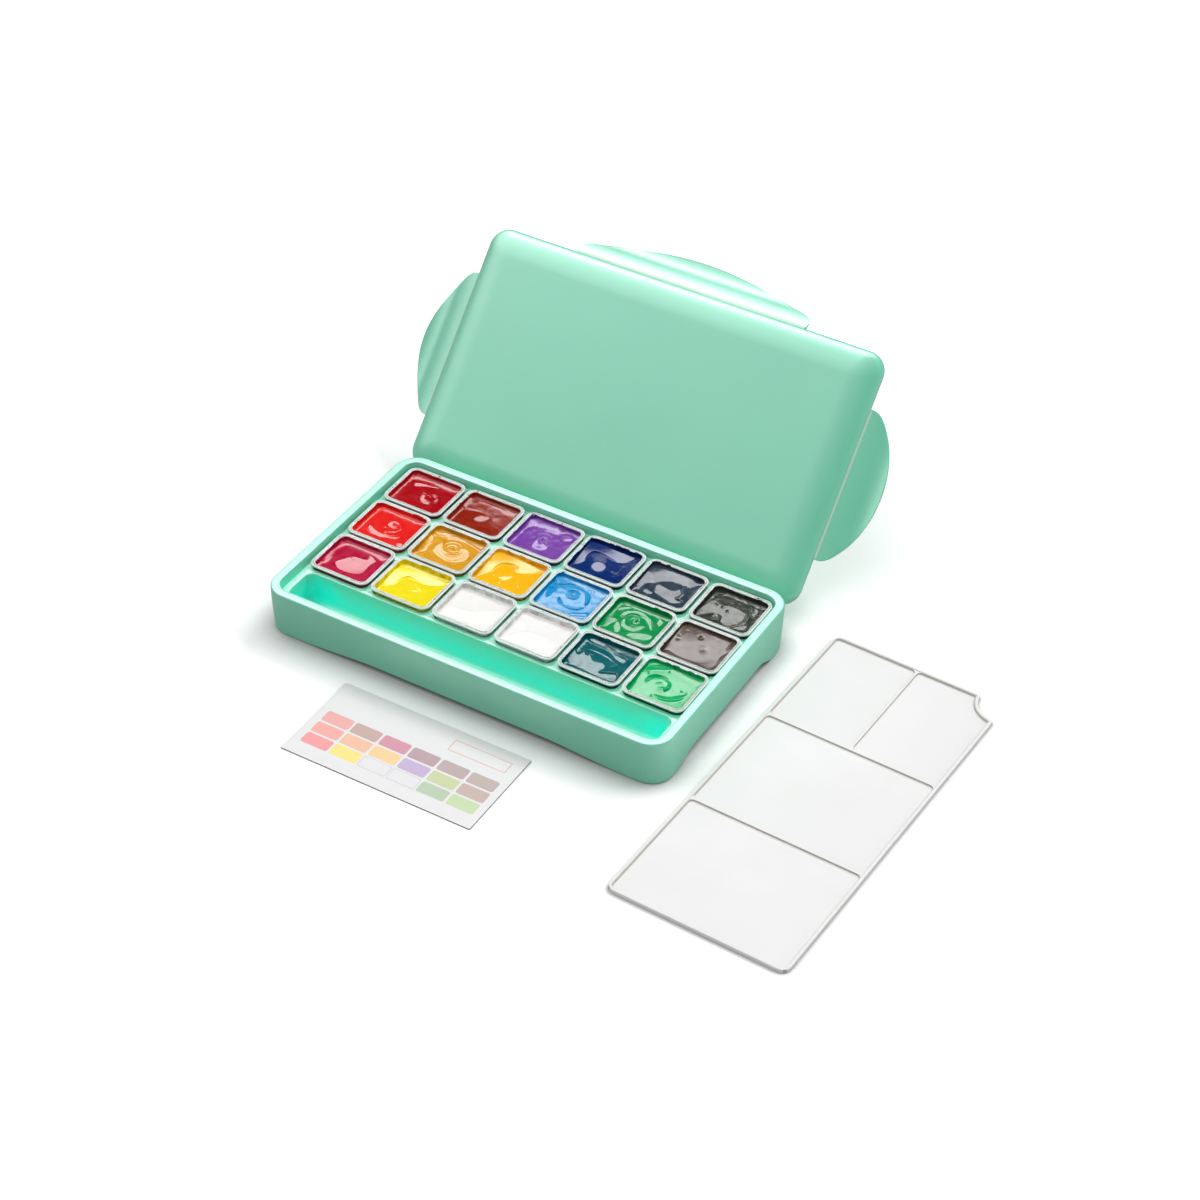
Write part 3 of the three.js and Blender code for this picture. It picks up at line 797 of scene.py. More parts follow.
def flap_stations(hinge, reach, shoulder):
    """Places along a flap's hinge with the flap's reach at each: an arc with rounded ends."""
    half = hinge / 2
    shoulder_run = half - FLAP_END_RUN
    sagitta = reach - shoulder
    radius = (shoulder_run ** 2 + sagitta ** 2) / (2 * sagitta)
    corner = shoulder - FLAP_END_RUN * shoulder_run / (radius - sagitta)
    share = np.linspace(0, 1, FLAP_END_STEPS + 1)[:-1]
    ends = np.column_stack([-half + FLAP_END_RUN * share ** 2,
                            FLAP_END_REACH * (1 - share) ** 2 + 2 * corner * (1 - share) * share
                            + shoulder * share ** 2])
    along = shoulder_run * np.linspace(-1, 1, FLAP_ARC_STEPS + 1)
    middle = np.column_stack([along, reach - radius + np.sqrt(radius ** 2 - along ** 2)])
    return np.concatenate([ends, middle, ends[::-1] * [-1, 1]])


def flap_frame(joint, fold=None):
    """Place of a flap: hinge along X, reaching towards -Y, outer face up."""
    origin = Vector(joint["pos_m"]) / MM
    axis = Vector(joint["axis"]).normalized()
    angle = math.radians(-joint["range_deg"][0]) if fold is None else fold
    turn = Matrix((axis, lid_out.cross(axis), lid_out)).transposed().to_4x4()
    return Matrix.Translation(origin) @ turn @ Matrix.Rotation(angle, 4, "X")


def make_flap(name, size):
    """A flap made of cross sections along its hinge, and its web."""
    hinge, reach = size[:2]
    shell = Shell()
    rings = []
    angles = np.linspace(math.pi / 2, -math.pi / 2, FLAP_EDGE_STEPS + 1)[1:-1]
    for along, reach_there in flap_stations(*size):
        nose = reach_there - FLAP_EDGE_ROUND
        distances = np.linspace(0, nose, FLAP_STEPS + 1)
        face = flap_face(distances, reach)
        tip = flap_face(reach_there, reach)
        out = np.concatenate([distances, nose + FLAP_EDGE_ROUND * np.cos(angles),
                              distances[::-1]])
        height = np.concatenate([face + FLAP_THICKNESS,
                                 tip + FLAP_THICKNESS * (1 + np.sin(angles)) / 2, face[::-1]])
        rings.append(np.column_stack([np.full(len(out), along), -HINGE_GAP - out, height]))
    shell.solid(rings)
    joint = joints[name + "_hinge"]
    flap = shell.finish(name + "_blade", mint, flap_frame(joint), sharp=50)
    dress(flap, name, "mint_plastic", name)
    make_web(name, joint, hinge)


def make_web(name, joint, hinge):
    """The thin strip that joins a flap to the lid, bent to the flap's resting fold."""
    lid_side = flap_frame(joint, 0)
    flap_side = flap_frame(joint)
    level = FLAP_THICKNESS + WEB_PROUD - WEB_THICKNESS / 2
    start = lid_side @ Vector((0, WEB_ROOT, level))
    out = lid_side @ Vector((0, -HINGE_GAP, level))
    back = flap_side @ Vector((0, -HINGE_GAP, level))
    end = flap_side @ Vector((0, -HINGE_GAP - WEB_LAP, level))
    across = lid_side.to_3x3() @ Vector((1, 0, 0))
    half = hinge / 2 - WEB_END_GAP
    shell = Shell()
    rings = []
    for share in np.linspace(0, 1, WEB_STEPS + 1):
        rest = 1 - share
        middle = (start * rest ** 3 + out * 3 * rest ** 2 * share
                  + back * 3 * rest * share ** 2 + end * share ** 3)
        tangent = ((out - start) * rest ** 2 + (back - out) * 2 * rest * share
                   + (end - back) * share ** 2)
        normal = across.cross(tangent).normalized() * WEB_THICKNESS / 2
        rings.append([middle + across * half * along + normal * up
                      for along, up in ((1, 1), (-1, 1), (-1, -1), (1, -1))])
    shell.solid(rings)
    web = shell.finish(name + "_web", hinge_plastic, sharp=40)
    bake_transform(web)


make_lid()
for flap_name, flap_size in (("lower_flap", LONG_FLAP), ("right_flap", SIDE_FLAP),
                             ("upper_flap", LONG_FLAP), ("left_flap", SIDE_FLAP)):
    make_flap(flap_name, flap_size)


def filleted(corners, steps=8):
    """Outline through corners, each given with the radius that rounds it."""
    points = []
    count = len(corners)
    for index, (x, y, radius) in enumerate(corners):
        here = np.array([x, y])
        if radius == 0:
            points.append(here)
            continue
        before = np.array(corners[index - 1][:2]) - here
        after = np.array(corners[(index + 1) % count][:2]) - here
        before = before / np.linalg.norm(before)
        after = after / np.linalg.norm(after)
        half = math.acos(np.clip(before @ after, -1, 1)) / 2
        bisector = (before + after) / np.linalg.norm(before + after)
        centre = here + bisector * radius / math.sin(half)
        reach = radius / math.tan(half)
        first = here + before * reach - centre
        last = here + after * reach - centre
        sweep = math.atan2(first[0] * last[1] - first[1] * last[0], first @ last)
        for share in np.linspace(0, 1, steps + 1):
            angle = sweep * share
            turn = np.array([[math.cos(angle), -math.sin(angle)], [math.sin(angle), math.cos(angle)]])
            points.append(centre + turn @ first)
    return np.array(points)


palette_length = tray_width - 2 * RIM_WIDTH - 2 * PALETTE_CLEARANCE
palette_place = stand_at((tray_centre[0] + (tray_width + PALETTE_WIDTH) / 2 + PALETTE_SIDE_GAP,
                          tray_centre[1] - PALETTE_FORWARD))
palette_place = palette_place @ Matrix.Rotation(PALETTE_TURN, 4, "Z")


def notch_corners(inset, tip, count=15):
    """Corners round the finger notch, from the long edge to the short one."""
    radius = NOTCH_RADIUS + inset
    short = math.sqrt(radius ** 2 - inset ** 2)
    angles = np.linspace(math.atan2(-short, -inset), math.atan2(-inset, -short), count)
    middle = np.array([PALETTE_WIDTH / 2, palette_length / 2])
    points = middle + radius * np.stack([np.cos(angles), np.sin(angles)], 1)
    rounds = [tip] + [0] * (count - 2) + [tip]
    return [(*point, corner) for point, corner in zip(points, rounds)]


def box_outline(left, right, near, far, radius, notch=None):
    """Outline between four sides, with the finger notch in place of its far right corner."""
    return filleted([(left, near, radius), (right, near, radius),
                     *(notch or [(right, far, radius)]), (left, far, radius)])


def palette_outline(inset):
    """The palette in plan, with its finger notch, drawn in by an inset."""
    half_width = PALETTE_WIDTH / 2 - inset
    half_length = palette_length / 2 - inset
    return box_outline(-half_width, half_width, -half_length, half_length,
                       PALETTE_CORNER_RADIUS - inset, notch_corners(inset, NOTCH_TIP_RADIUS))


def well_outline(inset, left, right, near, far, notched):
    """Outline of one well, which may end at the finger notch."""
    radius, tip = (max(size - inset, WELL_LEAST_RADIUS) for size in (WELL_RADIUS, WELL_RADIUS / 2))
    notch = notch_corners(PALETTE_WALL + WELL_LEDGE + inset, tip) if notched else None
    return box_outline(left + inset, right - inset, near + inset, far - inset, radius, notch)


def is_well_wall(face):
    """Whether a face of the palette is a steep one inside its outer wall."""
    spot = palette_place.inverted() @ (face.center / MM)
    skin = PALETTE_WALL / 2
    notch = math.hypot(PALETTE_WIDTH / 2 - spot.x, palette_length / 2 - spot.y)
    return (abs(face.normal.z) < STEEP and notch > NOTCH_RADIUS + skin
            and abs(spot.x) < PALETTE_WIDTH / 2 - skin
            and abs(spot.y) < palette_length / 2 - skin)


def make_palette():
    """The mixing palette: an outer wall and four wells between its dividers."""
    shell = Shell()
    divider_top = PALETTE_HEIGHT - DIVIDER_BELOW_WALL
    spots = rounded("foot", 3, PALETTE_SMALL_ROUND, 0, 0)
    spots += rounded("top", 4, PALETTE_TOP_ROUND, 0, PALETTE_HEIGHT)
    spots += rounded("mouth", 3, PALETTE_SMALL_ROUND, PALETTE_WALL, PALETTE_HEIGHT)
    spots.append((PALETTE_WALL, divider_top))
    foot, ledge = shell.loft(rings_at(palette_outline, spots))
    shell.cap(foot)
    edge = PALETTE_WALL + WELL_LEDGE
    low_x, high_x = edge - PALETTE_WIDTH / 2, PALETTE_WIDTH / 2 - edge
    low_y, high_y = edge - palette_length / 2, palette_length / 2 - edge
    near_y = palette_length * (NEAR_DIVIDER_SHARE - 0.5)
    far_y = palette_length * (FAR_DIVIDER_SHARE - 0.5)
    split_x = PALETTE_WIDTH * (SPLIT_DIVIDER_SHARE - 0.5)
    half = DIVIDER_WIDTH / 2
    wells = [(low_x, high_x, low_y, near_y - half, False),
             (low_x, high_x, near_y + half, far_y - half, False),
             (low_x, split_x - half, far_y + half, high_y, False),
             (split_x + half, high_x, far_y + half, high_y, True)]
    spots = rounded("mouth", 3, WELL_MOUTH_ROUND, 0, divider_top)
    spots += rounded("floor", 4, WELL_FLOOR_ROUND, 0, PALETTE_FLOOR)
    mouths = []
    for well in wells:
        rings = rings_at(lambda inset: well_outline(inset, *well), spots)
        mouths.append(shell.pit(rings))
    shell.fill([ledge, *mouths], (0, 0, 1))
    palette = shell.finish("mixing_palette", white_plastic, palette_place)
    # The steep walls of the wells get a grey-beige: painted shade
    face_with(palette, well_painted_shade, is_well_wall)
    dress(palette, "palette", "palette_plastic", "palette")


make_palette()

card_place = stand_at((card_low + card_high) / 2)


def flat_plate(shell, outline, low, high, x=0, y=0):
    """A thin plate, lightly rounded at its upper edge, added to a shell."""
    soft = min(PLATE_EDGE_ROUND, (high - low) / 3)
    middle = outline.mean(0)
    drawn = middle + (outline - middle) * (1 - 2 * soft / np.ptp(outline, axis=0))
    shell.solid(shifted([raise_outline(outline, low), raise_outline(outline, high - soft),
                         raise_outline(drawn, high)], x, y))


def make_card():
    """The card, its ink patches in rows, and an empty printed frame."""
    shell = Shell()
    flat_plate(shell, rounded_rect(card_length, card_depth, CARD_CORNER_RADIUS), 0, card_thickness)
    card = shell.finish("card_board", card_stock, card_place)
    # The card's steep edge faces are given a dark grey-brown
    face_with(card, dark_edge_board, lambda face: abs(face.normal.z) < STEEP)
    dress(card, "colour_card", "card_stock", "colour_card")
    ink_low = card_thickness + INK_LIFT
    width, depth = card_length * SWATCH_WIDTH_SHARE, card_depth * SWATCH_DEPTH_SHARE
    for row, inks in enumerate(SWATCH_INKS):
        for column, ink in enumerate(inks):
            x = card_length * (SWATCH_LEFT_SHARE + column * SWATCH_PITCH_X_SHARE - 0.5) + width / 2
            y = card_depth * (0.5 - SWATCH_TOP_SHARE - row * SWATCH_PITCH_Y_SHARE) - depth / 2
            shell = Shell()
            flat_plate(shell, rounded_rect(width, depth, SWATCH_CORNER_RADIUS, steps=5),
                       ink_low, ink_low + INK_THICKNESS, x, y)
            name = "ink_patch_%d_%d" % (row + 1, column + 1)
            patch = shell.finish(name, printed_card(name, colour(ink)), card_place)
            dress(patch, "colour_card", "card_stock")
            if min(ink) > WHITE_INK_FLOOR:
                printed_outline(name + "_line", SWATCH_LINE_INK, (x, y, ink_low),
                                width + 2 * SWATCH_LINE, depth + 2 * SWATCH_LINE,
                                SWATCH_CORNER_RADIUS, SWATCH_LINE)
    width, depth = card_length * FRAME_WIDTH_SHARE, card_depth * FRAME_DEPTH_SHARE
    spot = (card_length * (FRAME_LEFT_SHARE - 0.5) + width / 2,
            card_depth * (0.5 - FRAME_TOP_SHARE) - depth / 2, ink_low)
    printed_outline("card_frame", FRAME_INK, spot, width, depth, FRAME_LINE, FRAME_LINE)


def printed_outline(name, ink, spot, width, depth, radius, line):
    """A thin rectangular line printed on the card."""
    shell = Shell()
    outer = rounded_rect(width, depth, radius, steps=3)
    inner = rounded_rect(width - 2 * line, depth - 2 * line, max(radius - line, line / 2), steps=3)
    first, last = shell.loft([raise_outline(inner, 0), raise_outline(outer, 0),
                              raise_outline(outer, INK_THICKNESS),
                              raise_outline(inner, INK_THICKNESS)])
    shell.bridge(last, first)
    place = card_place @ Matrix.Translation(spot)
    printed = shell.finish(name, printed_card(name + "_ink", colour(ink)), place)
    dress(printed, "colour_card", "card_stock")


make_card()


def smooth_loop(points, steps=5):
    """Closed smooth curve through points."""
    points = np.array(points, float)
    curve = []
    for index in range(len(points)):
        a, b, c, d = (points[(index + shift) % len(points)] for shift in (-1, 0, 1, 2))
        for t in np.linspace(0, 1, steps, endpoint=False):
            curve.append(0.5 * (2 * b + (c - a) * t + (2 * a - 5 * b + 4 * c - d) * t ** 2
                                + (3 * b - a - 3 * c + d) * t ** 3))
    return np.array(curve)


def stretch_distance(x, y, start, end):
    """Distance of places from the straight stretch between two points."""
    side = end - start
    share = ((x - start[0]) * side[0] + (y - start[1]) * side[1]) / max(side @ side, 1e-9)
    share = np.clip(share, 0, 1)
    return np.hypot(x - start[0] - share * side[0], y - start[1] - share * side[1])


def distance_inside(x, y, loop):
    """Distance of places from a closed curve, positive inside it."""
    nearest = np.full(x.shape, np.inf)
    inside = np.zeros(x.shape, bool)
    for start, end in zip(loop, np.roll(loop, -1, 0)):
        nearest = np.minimum(nearest, stretch_distance(x, y, start, end))
        if start[1] != end[1]:
            slant = (end[0] - start[0]) * (y - start[1]) / (end[1] - start[1]) + start[0]
            inside ^= ((start[1] > y) != (end[1] > y)) & (x < slant)
    return np.where(inside, nearest, -nearest)


def soft_step(value, width):
    """Goes smoothly from 0 to 1 over a width about zero."""
    share = np.clip(value / width + 0.5, 0, 1)
    return share * share * (3 - 2 * share)


class Relief:
    """The surface of one filling: heights over its plan, built up by strokes.

    Places are hundredths of the half window, as read off the photo, with 100 at its edge.
    """

    def __init__(self, x, y, half_x, half_y, seed):
        self.x, self.y = x, y
        self.half_x, self.half_y = half_x, half_y
        self.height = np.zeros_like(x)
        self.random = np.random.default_rng(seed)

    def spot(self, x, y):
        return (np.array([x, y]) / 100 + READ_SHIFT) * READ_HALF

    def loop(self, points):
        return smooth_loop([self.spot(*point) for point in points])

    def meniscus(self, rise, run):
        """Paint climbing the cup's walls."""
        near_x = self.half_x - np.abs(self.x)
        near_y = self.half_y - np.abs(self.y)
        self.height += rise * np.exp(-near_x / run) + rise * np.exp(-near_y / run)
        return self

    def bank(self, points, slope=0.17, edge=0.7):
        """A bank that rises from the curve towards the walls."""
        depth = distance_inside(self.x, self.y, self.loop(points))
        self.height += slope * edge * np.log1p(np.exp(np.clip(depth / edge, -30, 30)))
        return self

    def patch(self, points, slope=0.17, edge=0.6):
        """A patch that slopes down towards the viewer, or away where the slope is negative."""
        loop = self.loop(points)
        mask = soft_step(distance_inside(self.x, self.y, loop), edge)
        middle = (loop.max(0) + loop.min(0)) / 2
        along = (self.x - middle[0]) * VIEWER[0] + (self.y - middle[1]) * VIEWER[1]
        self.height -= slope * along * mask
        return self

    def tilt(self, slope):
        self.height -= slope * (self.x * VIEWER[0] + self.y * VIEWER[1])
        return self

    def swirl(self, x, y, pitch, height, reach, hand=1, squash=1.0, turn=0.0):
        """Spiral ridges left by a stirring stick."""
        centre = self.spot(x, y)
        across, along = self.x - centre[0], (self.y - centre[1]) / squash
        radius = np.hypot(across, along)
        phase = 2 * math.pi * radius / pitch - hand * np.arctan2(along, across) + turn
        envelope = np.exp(-(radius / reach) ** 2) * (1 - np.exp(-(radius / (pitch / 3)) ** 2))
        self.height += height * np.cos(phase) * envelope
        return self

    def dent(self, x, y, radius, depth):
        centre = self.spot(x, y)
        distance = np.hypot(self.x - centre[0], self.y - centre[1]) / radius
        self.height -= depth * np.exp(-distance ** 2)
        return self

    def ridge(self, points, width, height):
        """A raised stroke along a line."""
        line = [self.spot(*point) for point in points]
        nearest = np.min([stretch_distance(self.x, self.y, start, end)
                          for start, end in zip(line, line[1:])], 0)
        self.height += height * np.exp(-(nearest / width) ** 2)
        return self

    def ripple(self, size, height, count=14):
        """Gentle unevenness made of waves in random directions."""
        for _ in range(count):
            angle = self.random.uniform(0, math.pi)
            length = size * self.random.uniform(0.6, 1.6)
            phase = self.random.uniform(0, 2 * math.pi)
            wave = (self.x * math.cos(angle) + self.y * math.sin(angle)) * 2 * math.pi / length
            self.height += height / math.sqrt(count) * np.sin(wave + phase)
        return self


def crimson(relief):
    relief.meniscus(1.1, 1.3).ripple(7, 0.02)
    relief.bank([(-120, 130), (-95, 60), (-70, 68), (-20, 84), (10, 72), (45, 66), (80, 72),
                 (130, 130)], 0.12)
    relief.patch([(-64, 46), (-53, 30), (-20, 45), (16, 57), (14, 62), (-31, 57)], 0.15, 0.4)
    relief.patch([(-9, -2), (-1, -30), (17, -46), (39, -41), (32, -27), (13, -26), (4, -2)], 0.15, 0.4)
    relief.patch([(30, 24), (50, 6), (57, -22), (50, -20), (42, 2), (24, 17)], 0.1, 0.5)
    relief.swirl(17, -10, 2.6, 0.05, 7).dent(-5, 2, 0.9, 0.5)


def burnt_sienna(relief):
    relief.meniscus(1.1, 1.1).ripple(8, 0.03)
    relief.bank([(-130, 130), (-105, 62), (-60, 80), (-20, 80), (40, 70), (75, 76), (130, 130)], 0.1)
    relief.patch([(-104, 72), (83, 72), (85, -20), (57, -18), (32, -3), (21, 16), (-31, 23), (-75, 11),
                  (-104, 24)], 0.08, 1.3)
    relief.patch([(-24, -16), (-9, 5), (18, 11), (15, -10), (-3, -31), (-22, -28)], 0.17, 0.5)
    relief.bank([(-140, 60), (-98, 45), (-94, -20), (-102, -70), (-140, -80)], 0.2)


def violet(relief):
    relief.meniscus(1.0, 1.2).ripple(6, 0.03)
    relief.bank([(-140, 130), (-102, -80), (-93, 0), (-80, 42), (-48, 60), (-9, 57), (27, 53),
                 (36, 72), (50, 130)], 0.15)
    relief.patch([(-20, -44), (-23, -23), (-14, -10), (-3, -26), (8, -17), (30, -26), (27, -48),
                  (5, -58), (-12, -56)])
    relief.swirl(-3, 5, 4.4, 0.05, 12).dent(-3, 6, 1.5, 1.0)
    relief.dent(64, 67, 3.4, -0.7).dent(64, 70, 2.2, 0.3)


def navy(relief):
    relief.meniscus(0.5, 1.5).ripple(9, 0.012)
    relief.patch([(-99, 84), (65, 88), (74, 76), (54, 47), (32, 35), (-9, 41), (-37, 46), (-62, 39),
                  (-69, 7), (-68, -34), (-97, -73), (-103, -71), (-103, 72)], 0.14, 0.5)
    relief.patch([(-10, 2), (10, -10), (12, -34), (0, -50), (-22, -48), (-34, -30), (-30, -8)],
                 0.15, 0.5)
    relief.patch([(-50, 30), (-10, 32), (-6, 10), (-45, 0)], 0.075, 0.7)
    relief.ridge([(62, 20), (66, -20), (55, -40), (45, -30)], 1.2, 0.12)


def slate(relief):
    relief.meniscus(0.6, 1.4).ripple(8, 0.02)
    relief.bank([(-95, 140), (90, 140), (75, 62), (48, 42), (18, 48), (-16, 36), (-38, 17), (-49, 2),
                 (-66, -7), (-74, -40), (-80, -57), (-130, -62), (-140, 40)], 0.18)
    relief.patch([(-32, -1), (23, -4), (43, 17), (54, -7), (48, -32), (68, -35), (79, -41), (51, -63),
                  (23, -57), (-10, -48), (-27, -35)])
    relief.patch([(-54, -44), (-28, -54), (-42, -66), (-59, -57)])
    relief.ridge([(50, 40), (60, 0), (58, -30)], 0.8, 0.25)


def black(relief):
    relief.meniscus(0.8, 1.2).ripple(4.5, 0.03, 24)
    relief.patch([(-93, -50), (-75, 27), (-38, 19), (-9, 31), (39, 27), (54, -2), (50, -34), (24, -71),
                  (-9, -60), (-16, -34), (-49, -34), (-75, -63)], 0.14, 0.4)
    relief.patch([(-104, 108), (-53, 104), (-57, 84), (-82, 72), (-104, 47)], 0.15)
    relief.patch([(54, 59), (74, 65), (78, 23), (65, 31)], 0.15, 0.4)
    relief.patch([(46, -71), (76, -34), (79, -63)], 0.15, 0.4)
    relief.ridge([(30, -70), (62, -30), (60, 10), (45, 45)], 0.7, 0.3)
    relief.dent(-57, 15, 1, 0.5).dent(-32, 8, 0.9, 0.5).dent(-9, -2, 0.8, 0.45)
    relief.dent(-30, -50, 1.6, 0.5).dent(62, 50, 1.2, 0.5)


def vermilion(relief):
    relief.meniscus(1.2, 0.9).ripple(9, 0.012)
    relief.bank([(-140, 140), (-100, 30), (-96, 84), (-40, 88), (35, 84), (50, 74), (65, 82),
                 (90, 140)], 0.14)
    relief.patch([(-18, 19), (-15, 35), (-3, 46), (12, 43), (15, 36), (2, 36), (-3, 27), (2, 16),
                  (13, 19), (21, 12), (12, 5), (-5, 5), (-15, 11)], 0.14, 0.3)
    relief.ridge([(28, 35), (34, 15), (28, -6), (10, -18)], 0.7, 0.16)
    relief.dent(-16, -2, 0.8, -0.16).dent(0, -26, 0.8, -0.14)
    relief.patch([(-64, -30), (-53, -26), (-31, -38), (-1, -42), (28, -38), (54, -26), (49, -42),
                  (21, -54), (-9, -65), (-38, -60), (-60, -46)], 0.15, 0.4)
    relief.patch([(-115, -14), (-98, -20), (-95, -45), (-115, -54)], 0.16, 0.5)
    relief.patch([(68, -60), (85, -55), (87, -75), (72, -75)], 0.15, 0.4)


def ochre(relief):
    relief.meniscus(1.0, 1.2).ripple(6, 0.02)
    relief.patch([(-41, 47), (-52, -2), (-41, -34), (-4, -50), (40, -46), (73, -10), (62, 31),
                  (40, 43), (25, 31), (30, 7), (6, -14), (-20, -2), (-37, 29)], 0.15, 0.7)
    relief.patch([(-108, 39), (-86, 43), (-75, 23), (-75, -10), (-68, -42), (-97, -71), (-108, -71)],
                 0.15)
    relief.patch([(-90, 72), (-31, 88), (79, 72), (83, 59), (13, 72), (-75, 59)], 0.09, 1)
    relief.swirl(3, 21, 3.2, 0.1, 13).dent(5, 21, 0.8, 1.8)


def orange_yellow(relief):
    relief.meniscus(0.5, 1.2).ripple(9, 0.012)
    relief.patch([(-100, 84), (83, 84), (74, 70), (32, 31), (2, 35), (7, 51), (-24, 55), (-51, 39),
                  (-59, 15), (-63, -18), (-85, -63), (-100, -63)], 0.14)
    relief.patch([(-26, -31), (-10, -16), (12, -2), (12, -14), (-2, -36), (-22, -36)], 0.15, 0.4)
    relief.dent(-45, -29, 0.7, -0.16).dent(-9, -53, 0.7, -0.16)
    relief.ridge([(50, -30), (58, -42)], 0.7, 0.15)
    relief.dent(-98, 33, 1.3, 1.5)


def sky_blue(relief):
    relief.meniscus(0.9, 1.2).tilt(0.088).ripple(6, 0.02)
    relief.patch([(-104, 72), (-75, 47), (-38, 70), (6, 72), (39, 55), (56, 23), (54, -2), (44, 23),
                  (24, 49), (-9, 59), (-38, 55), (-68, 31), (-82, 15), (-104, 31)], -0.17, 0.4)
    relief.patch([(-25, 23), (-20, 41), (-1, 49), (13, 39), (17, 19), (6, 2), (-13, 0), (-24, 8)],
                 -0.2, 0.4)
    relief.patch([(-37, -14), (-9, -34), (28, -34), (57, -14), (39, -41), (-1, -49), (-32, -34)],
                 -0.2, 0.4)
    relief.patch([(-90, 15), (-68, 23), (-64, -2), (-75, -34), (-86, -18)], -0.18, 0.4)
    for place in COMB_PLACES:
        relief.ridge([(place, 50), (place - 2, 76)], 0.35, -0.3)
    relief.dent(-2, 24, 2.2, 0.6).dent(-30, 30, 0.9, -0.25)
    relief.ridge([(40, -62), (75, -42)], 0.6, 0.2).ridge([(55, -68), (85, -52)], 0.6, 0.2)


def green(relief):
    relief.meniscus(0.9, 1.2).ripple(6, 0.02)
    relief.patch([(-60, 23), (-49, 51), (-9, 70), (32, 55), (61, 15), (57, 2), (35, 29), (2, 51),
                  (-31, 43), (-47, 15)], 0.15, 0.4)
    relief.patch([(-42, -2), (-32, -30), (-9, -42), (21, -34), (37, -2), (28, 7), (13, -14), (-9, -22),
                  (-25, -14), (-32, 7)], 0.15, 0.4)
    relief.patch([(-18, 33), (-9, 41), (6, 35), (7, 19), (-5, 11)], 0.16, 0.3)
    relief.patch([(-100, -38), (-82, -14), (-57, -10), (-64, -42), (-75, -68), (-99, -65)], 0.15, 0.4)
    relief.patch([(-54, -30), (-42, -22), (-22, -63), (-38, -71)], 0.15, 0.4)
    relief.patch([(6, -60), (39, -34), (78, -24), (79, -50), (32, -73)], 0.15, 0.4)
    relief.patch([(58, 72), (76, 65), (78, 39), (66, 41)], 0.15, 0.4)
    relief.patch([(-77, 59), (-50, 78), (-55, 62), (-77, 36)], 0.13, 0.5)
    relief.swirl(-4, 19, 2.6, 0.09, 5).dent(2, 20, 0.8, 0.7)


def umber(relief):
    relief.meniscus(0.5, 0.8).tilt(0.11).ripple(10, 0.02)
    relief.bank([(83, 96), (78, 47), (87, 31), (79, -2), (85, -42), (74, -68), (28, -65), (-31, -71),
                 (-90, -68), (-97, -130), (140, -130), (140, 96)], 0.35, 0.3)
    relief.dent(-17, 56, 1.5, 0.9).dent(-83, 25, 0.9, 0.6).dent(-69, 62, 0.8, 0.5)
    relief.dent(-80, 10, 1.6, 0.25).dent(13, 10, 3.2, 0.3)


def magenta(relief):
    relief.meniscus(0.8, 1.1).ripple(9, 0.012)
    relief.bank([(-140, 140), (100, 140), (80, 69), (47, 70), (8, 79), (-42, 82), (-70, 73), (-84, 42),
                 (-73, -1), (-71, -32), (-81, -57), (-110, -75), (-140, -80)], 0.18)
    relief.patch([(-51, -26), (-37, -1), (-17, 27), (24, 36), (33, 45), (26, 65), (58, 53), (57, 17),
                  (55, -35), (36, -54), (5, -60), (-26, -60), (-45, -44)], 0.12)
    relief.ridge([(-17, 15), (-10, 5), (-5, 10)], 0.7, 0.12)


def lemon(relief):
    relief.meniscus(0.7, 1.8).ripple(10, 0.01)
    relief.patch([(-93, 47), (-75, 73), (72, 76), (94, 84), (61, 43), (13, 29), (-37, 35), (-54, 7),
                  (-60, -30), (-90, -65), (-99, -63), (-99, 23)], 0.13, 0.7)
    relief.dent(1, 14, 0.7, -0.12).ridge([(20, 5), (32, -6)], 0.7, 0.12)
    relief.ridge([(10, -20), (24, -17)], 0.7, 0.12)


def white(relief):
    relief.meniscus(0.9, 1.4).ripple(9, 0.02)
    relief.patch([(-90, -30), (-30, -15), (10, 0), (50, 35), (85, 40), (80, -60), (0, -70), (-80, -70)],
                 0.08, 2)
    relief.dent(52, 72, 0.5, 0.5)


def second_white(relief):
    relief.meniscus(0.9, 1.4).ripple(7, 0.03)
    relief.patch([(-70, -38), (-37, -1), (-14, 5), (19, 8), (47, 17), (74, -1), (86, -63), (-64, -75)],
                 0.08, 1.5)


def teal(relief):
    relief.meniscus(0.7, 1.2).ripple(5, 0.025)
    relief.patch([(-97, 2), (-75, -14), (-64, 11), (-49, -2), (-38, 7), (-16, -14), (13, -6),
                  (28, -26), (21, -52), (46, -42), (76, -30), (83, -71), (13, -73), (-75, -68),
                  (-97, -54)], 0.14, 0.5)
    relief.patch([(-75, 84), (-24, 86), (28, 63), (65, 59), (68, 35), (32, 41), (-9, 65), (-71, 70)],
                 0.17, 0.5)
    for place in STROKE_PLACES:
        relief.ridge([(place - 70, 35 + place / 3), (place, 42 - place / 2)], 0.4, 0.06)


def bright_green(relief):
    relief.meniscus(0.9, 1.1).tilt(0.088).ripple(8, 0.02)
    relief.patch([(-108, 35), (-75, 76), (-27, 92), (-24, 80), (-60, 55), (-97, 23)], -0.22, 0.5)
    relief.patch([(-69, -14), (-66, 15), (-49, 37), (-16, 41), (7, 27), (17, 2), (10, -18), (2, -14),
                  (7, 2), (-1, 21), (-20, 29), (-42, 24), (-54, 7), (-57, -14)], -0.24, 0.5)
    relief.swirl(-16, -2, 3.8, 0.16, 4)
    relief.patch([(-9, -50), (28, -42), (57, -14), (74, 15), (74, -18), (54, -46), (21, -63),
                  (-9, -60)], -0.12, 1.2)
    for x, y in BUBBLE_PLACES:
        relief.dent(x, y, 0.55, 0.7)


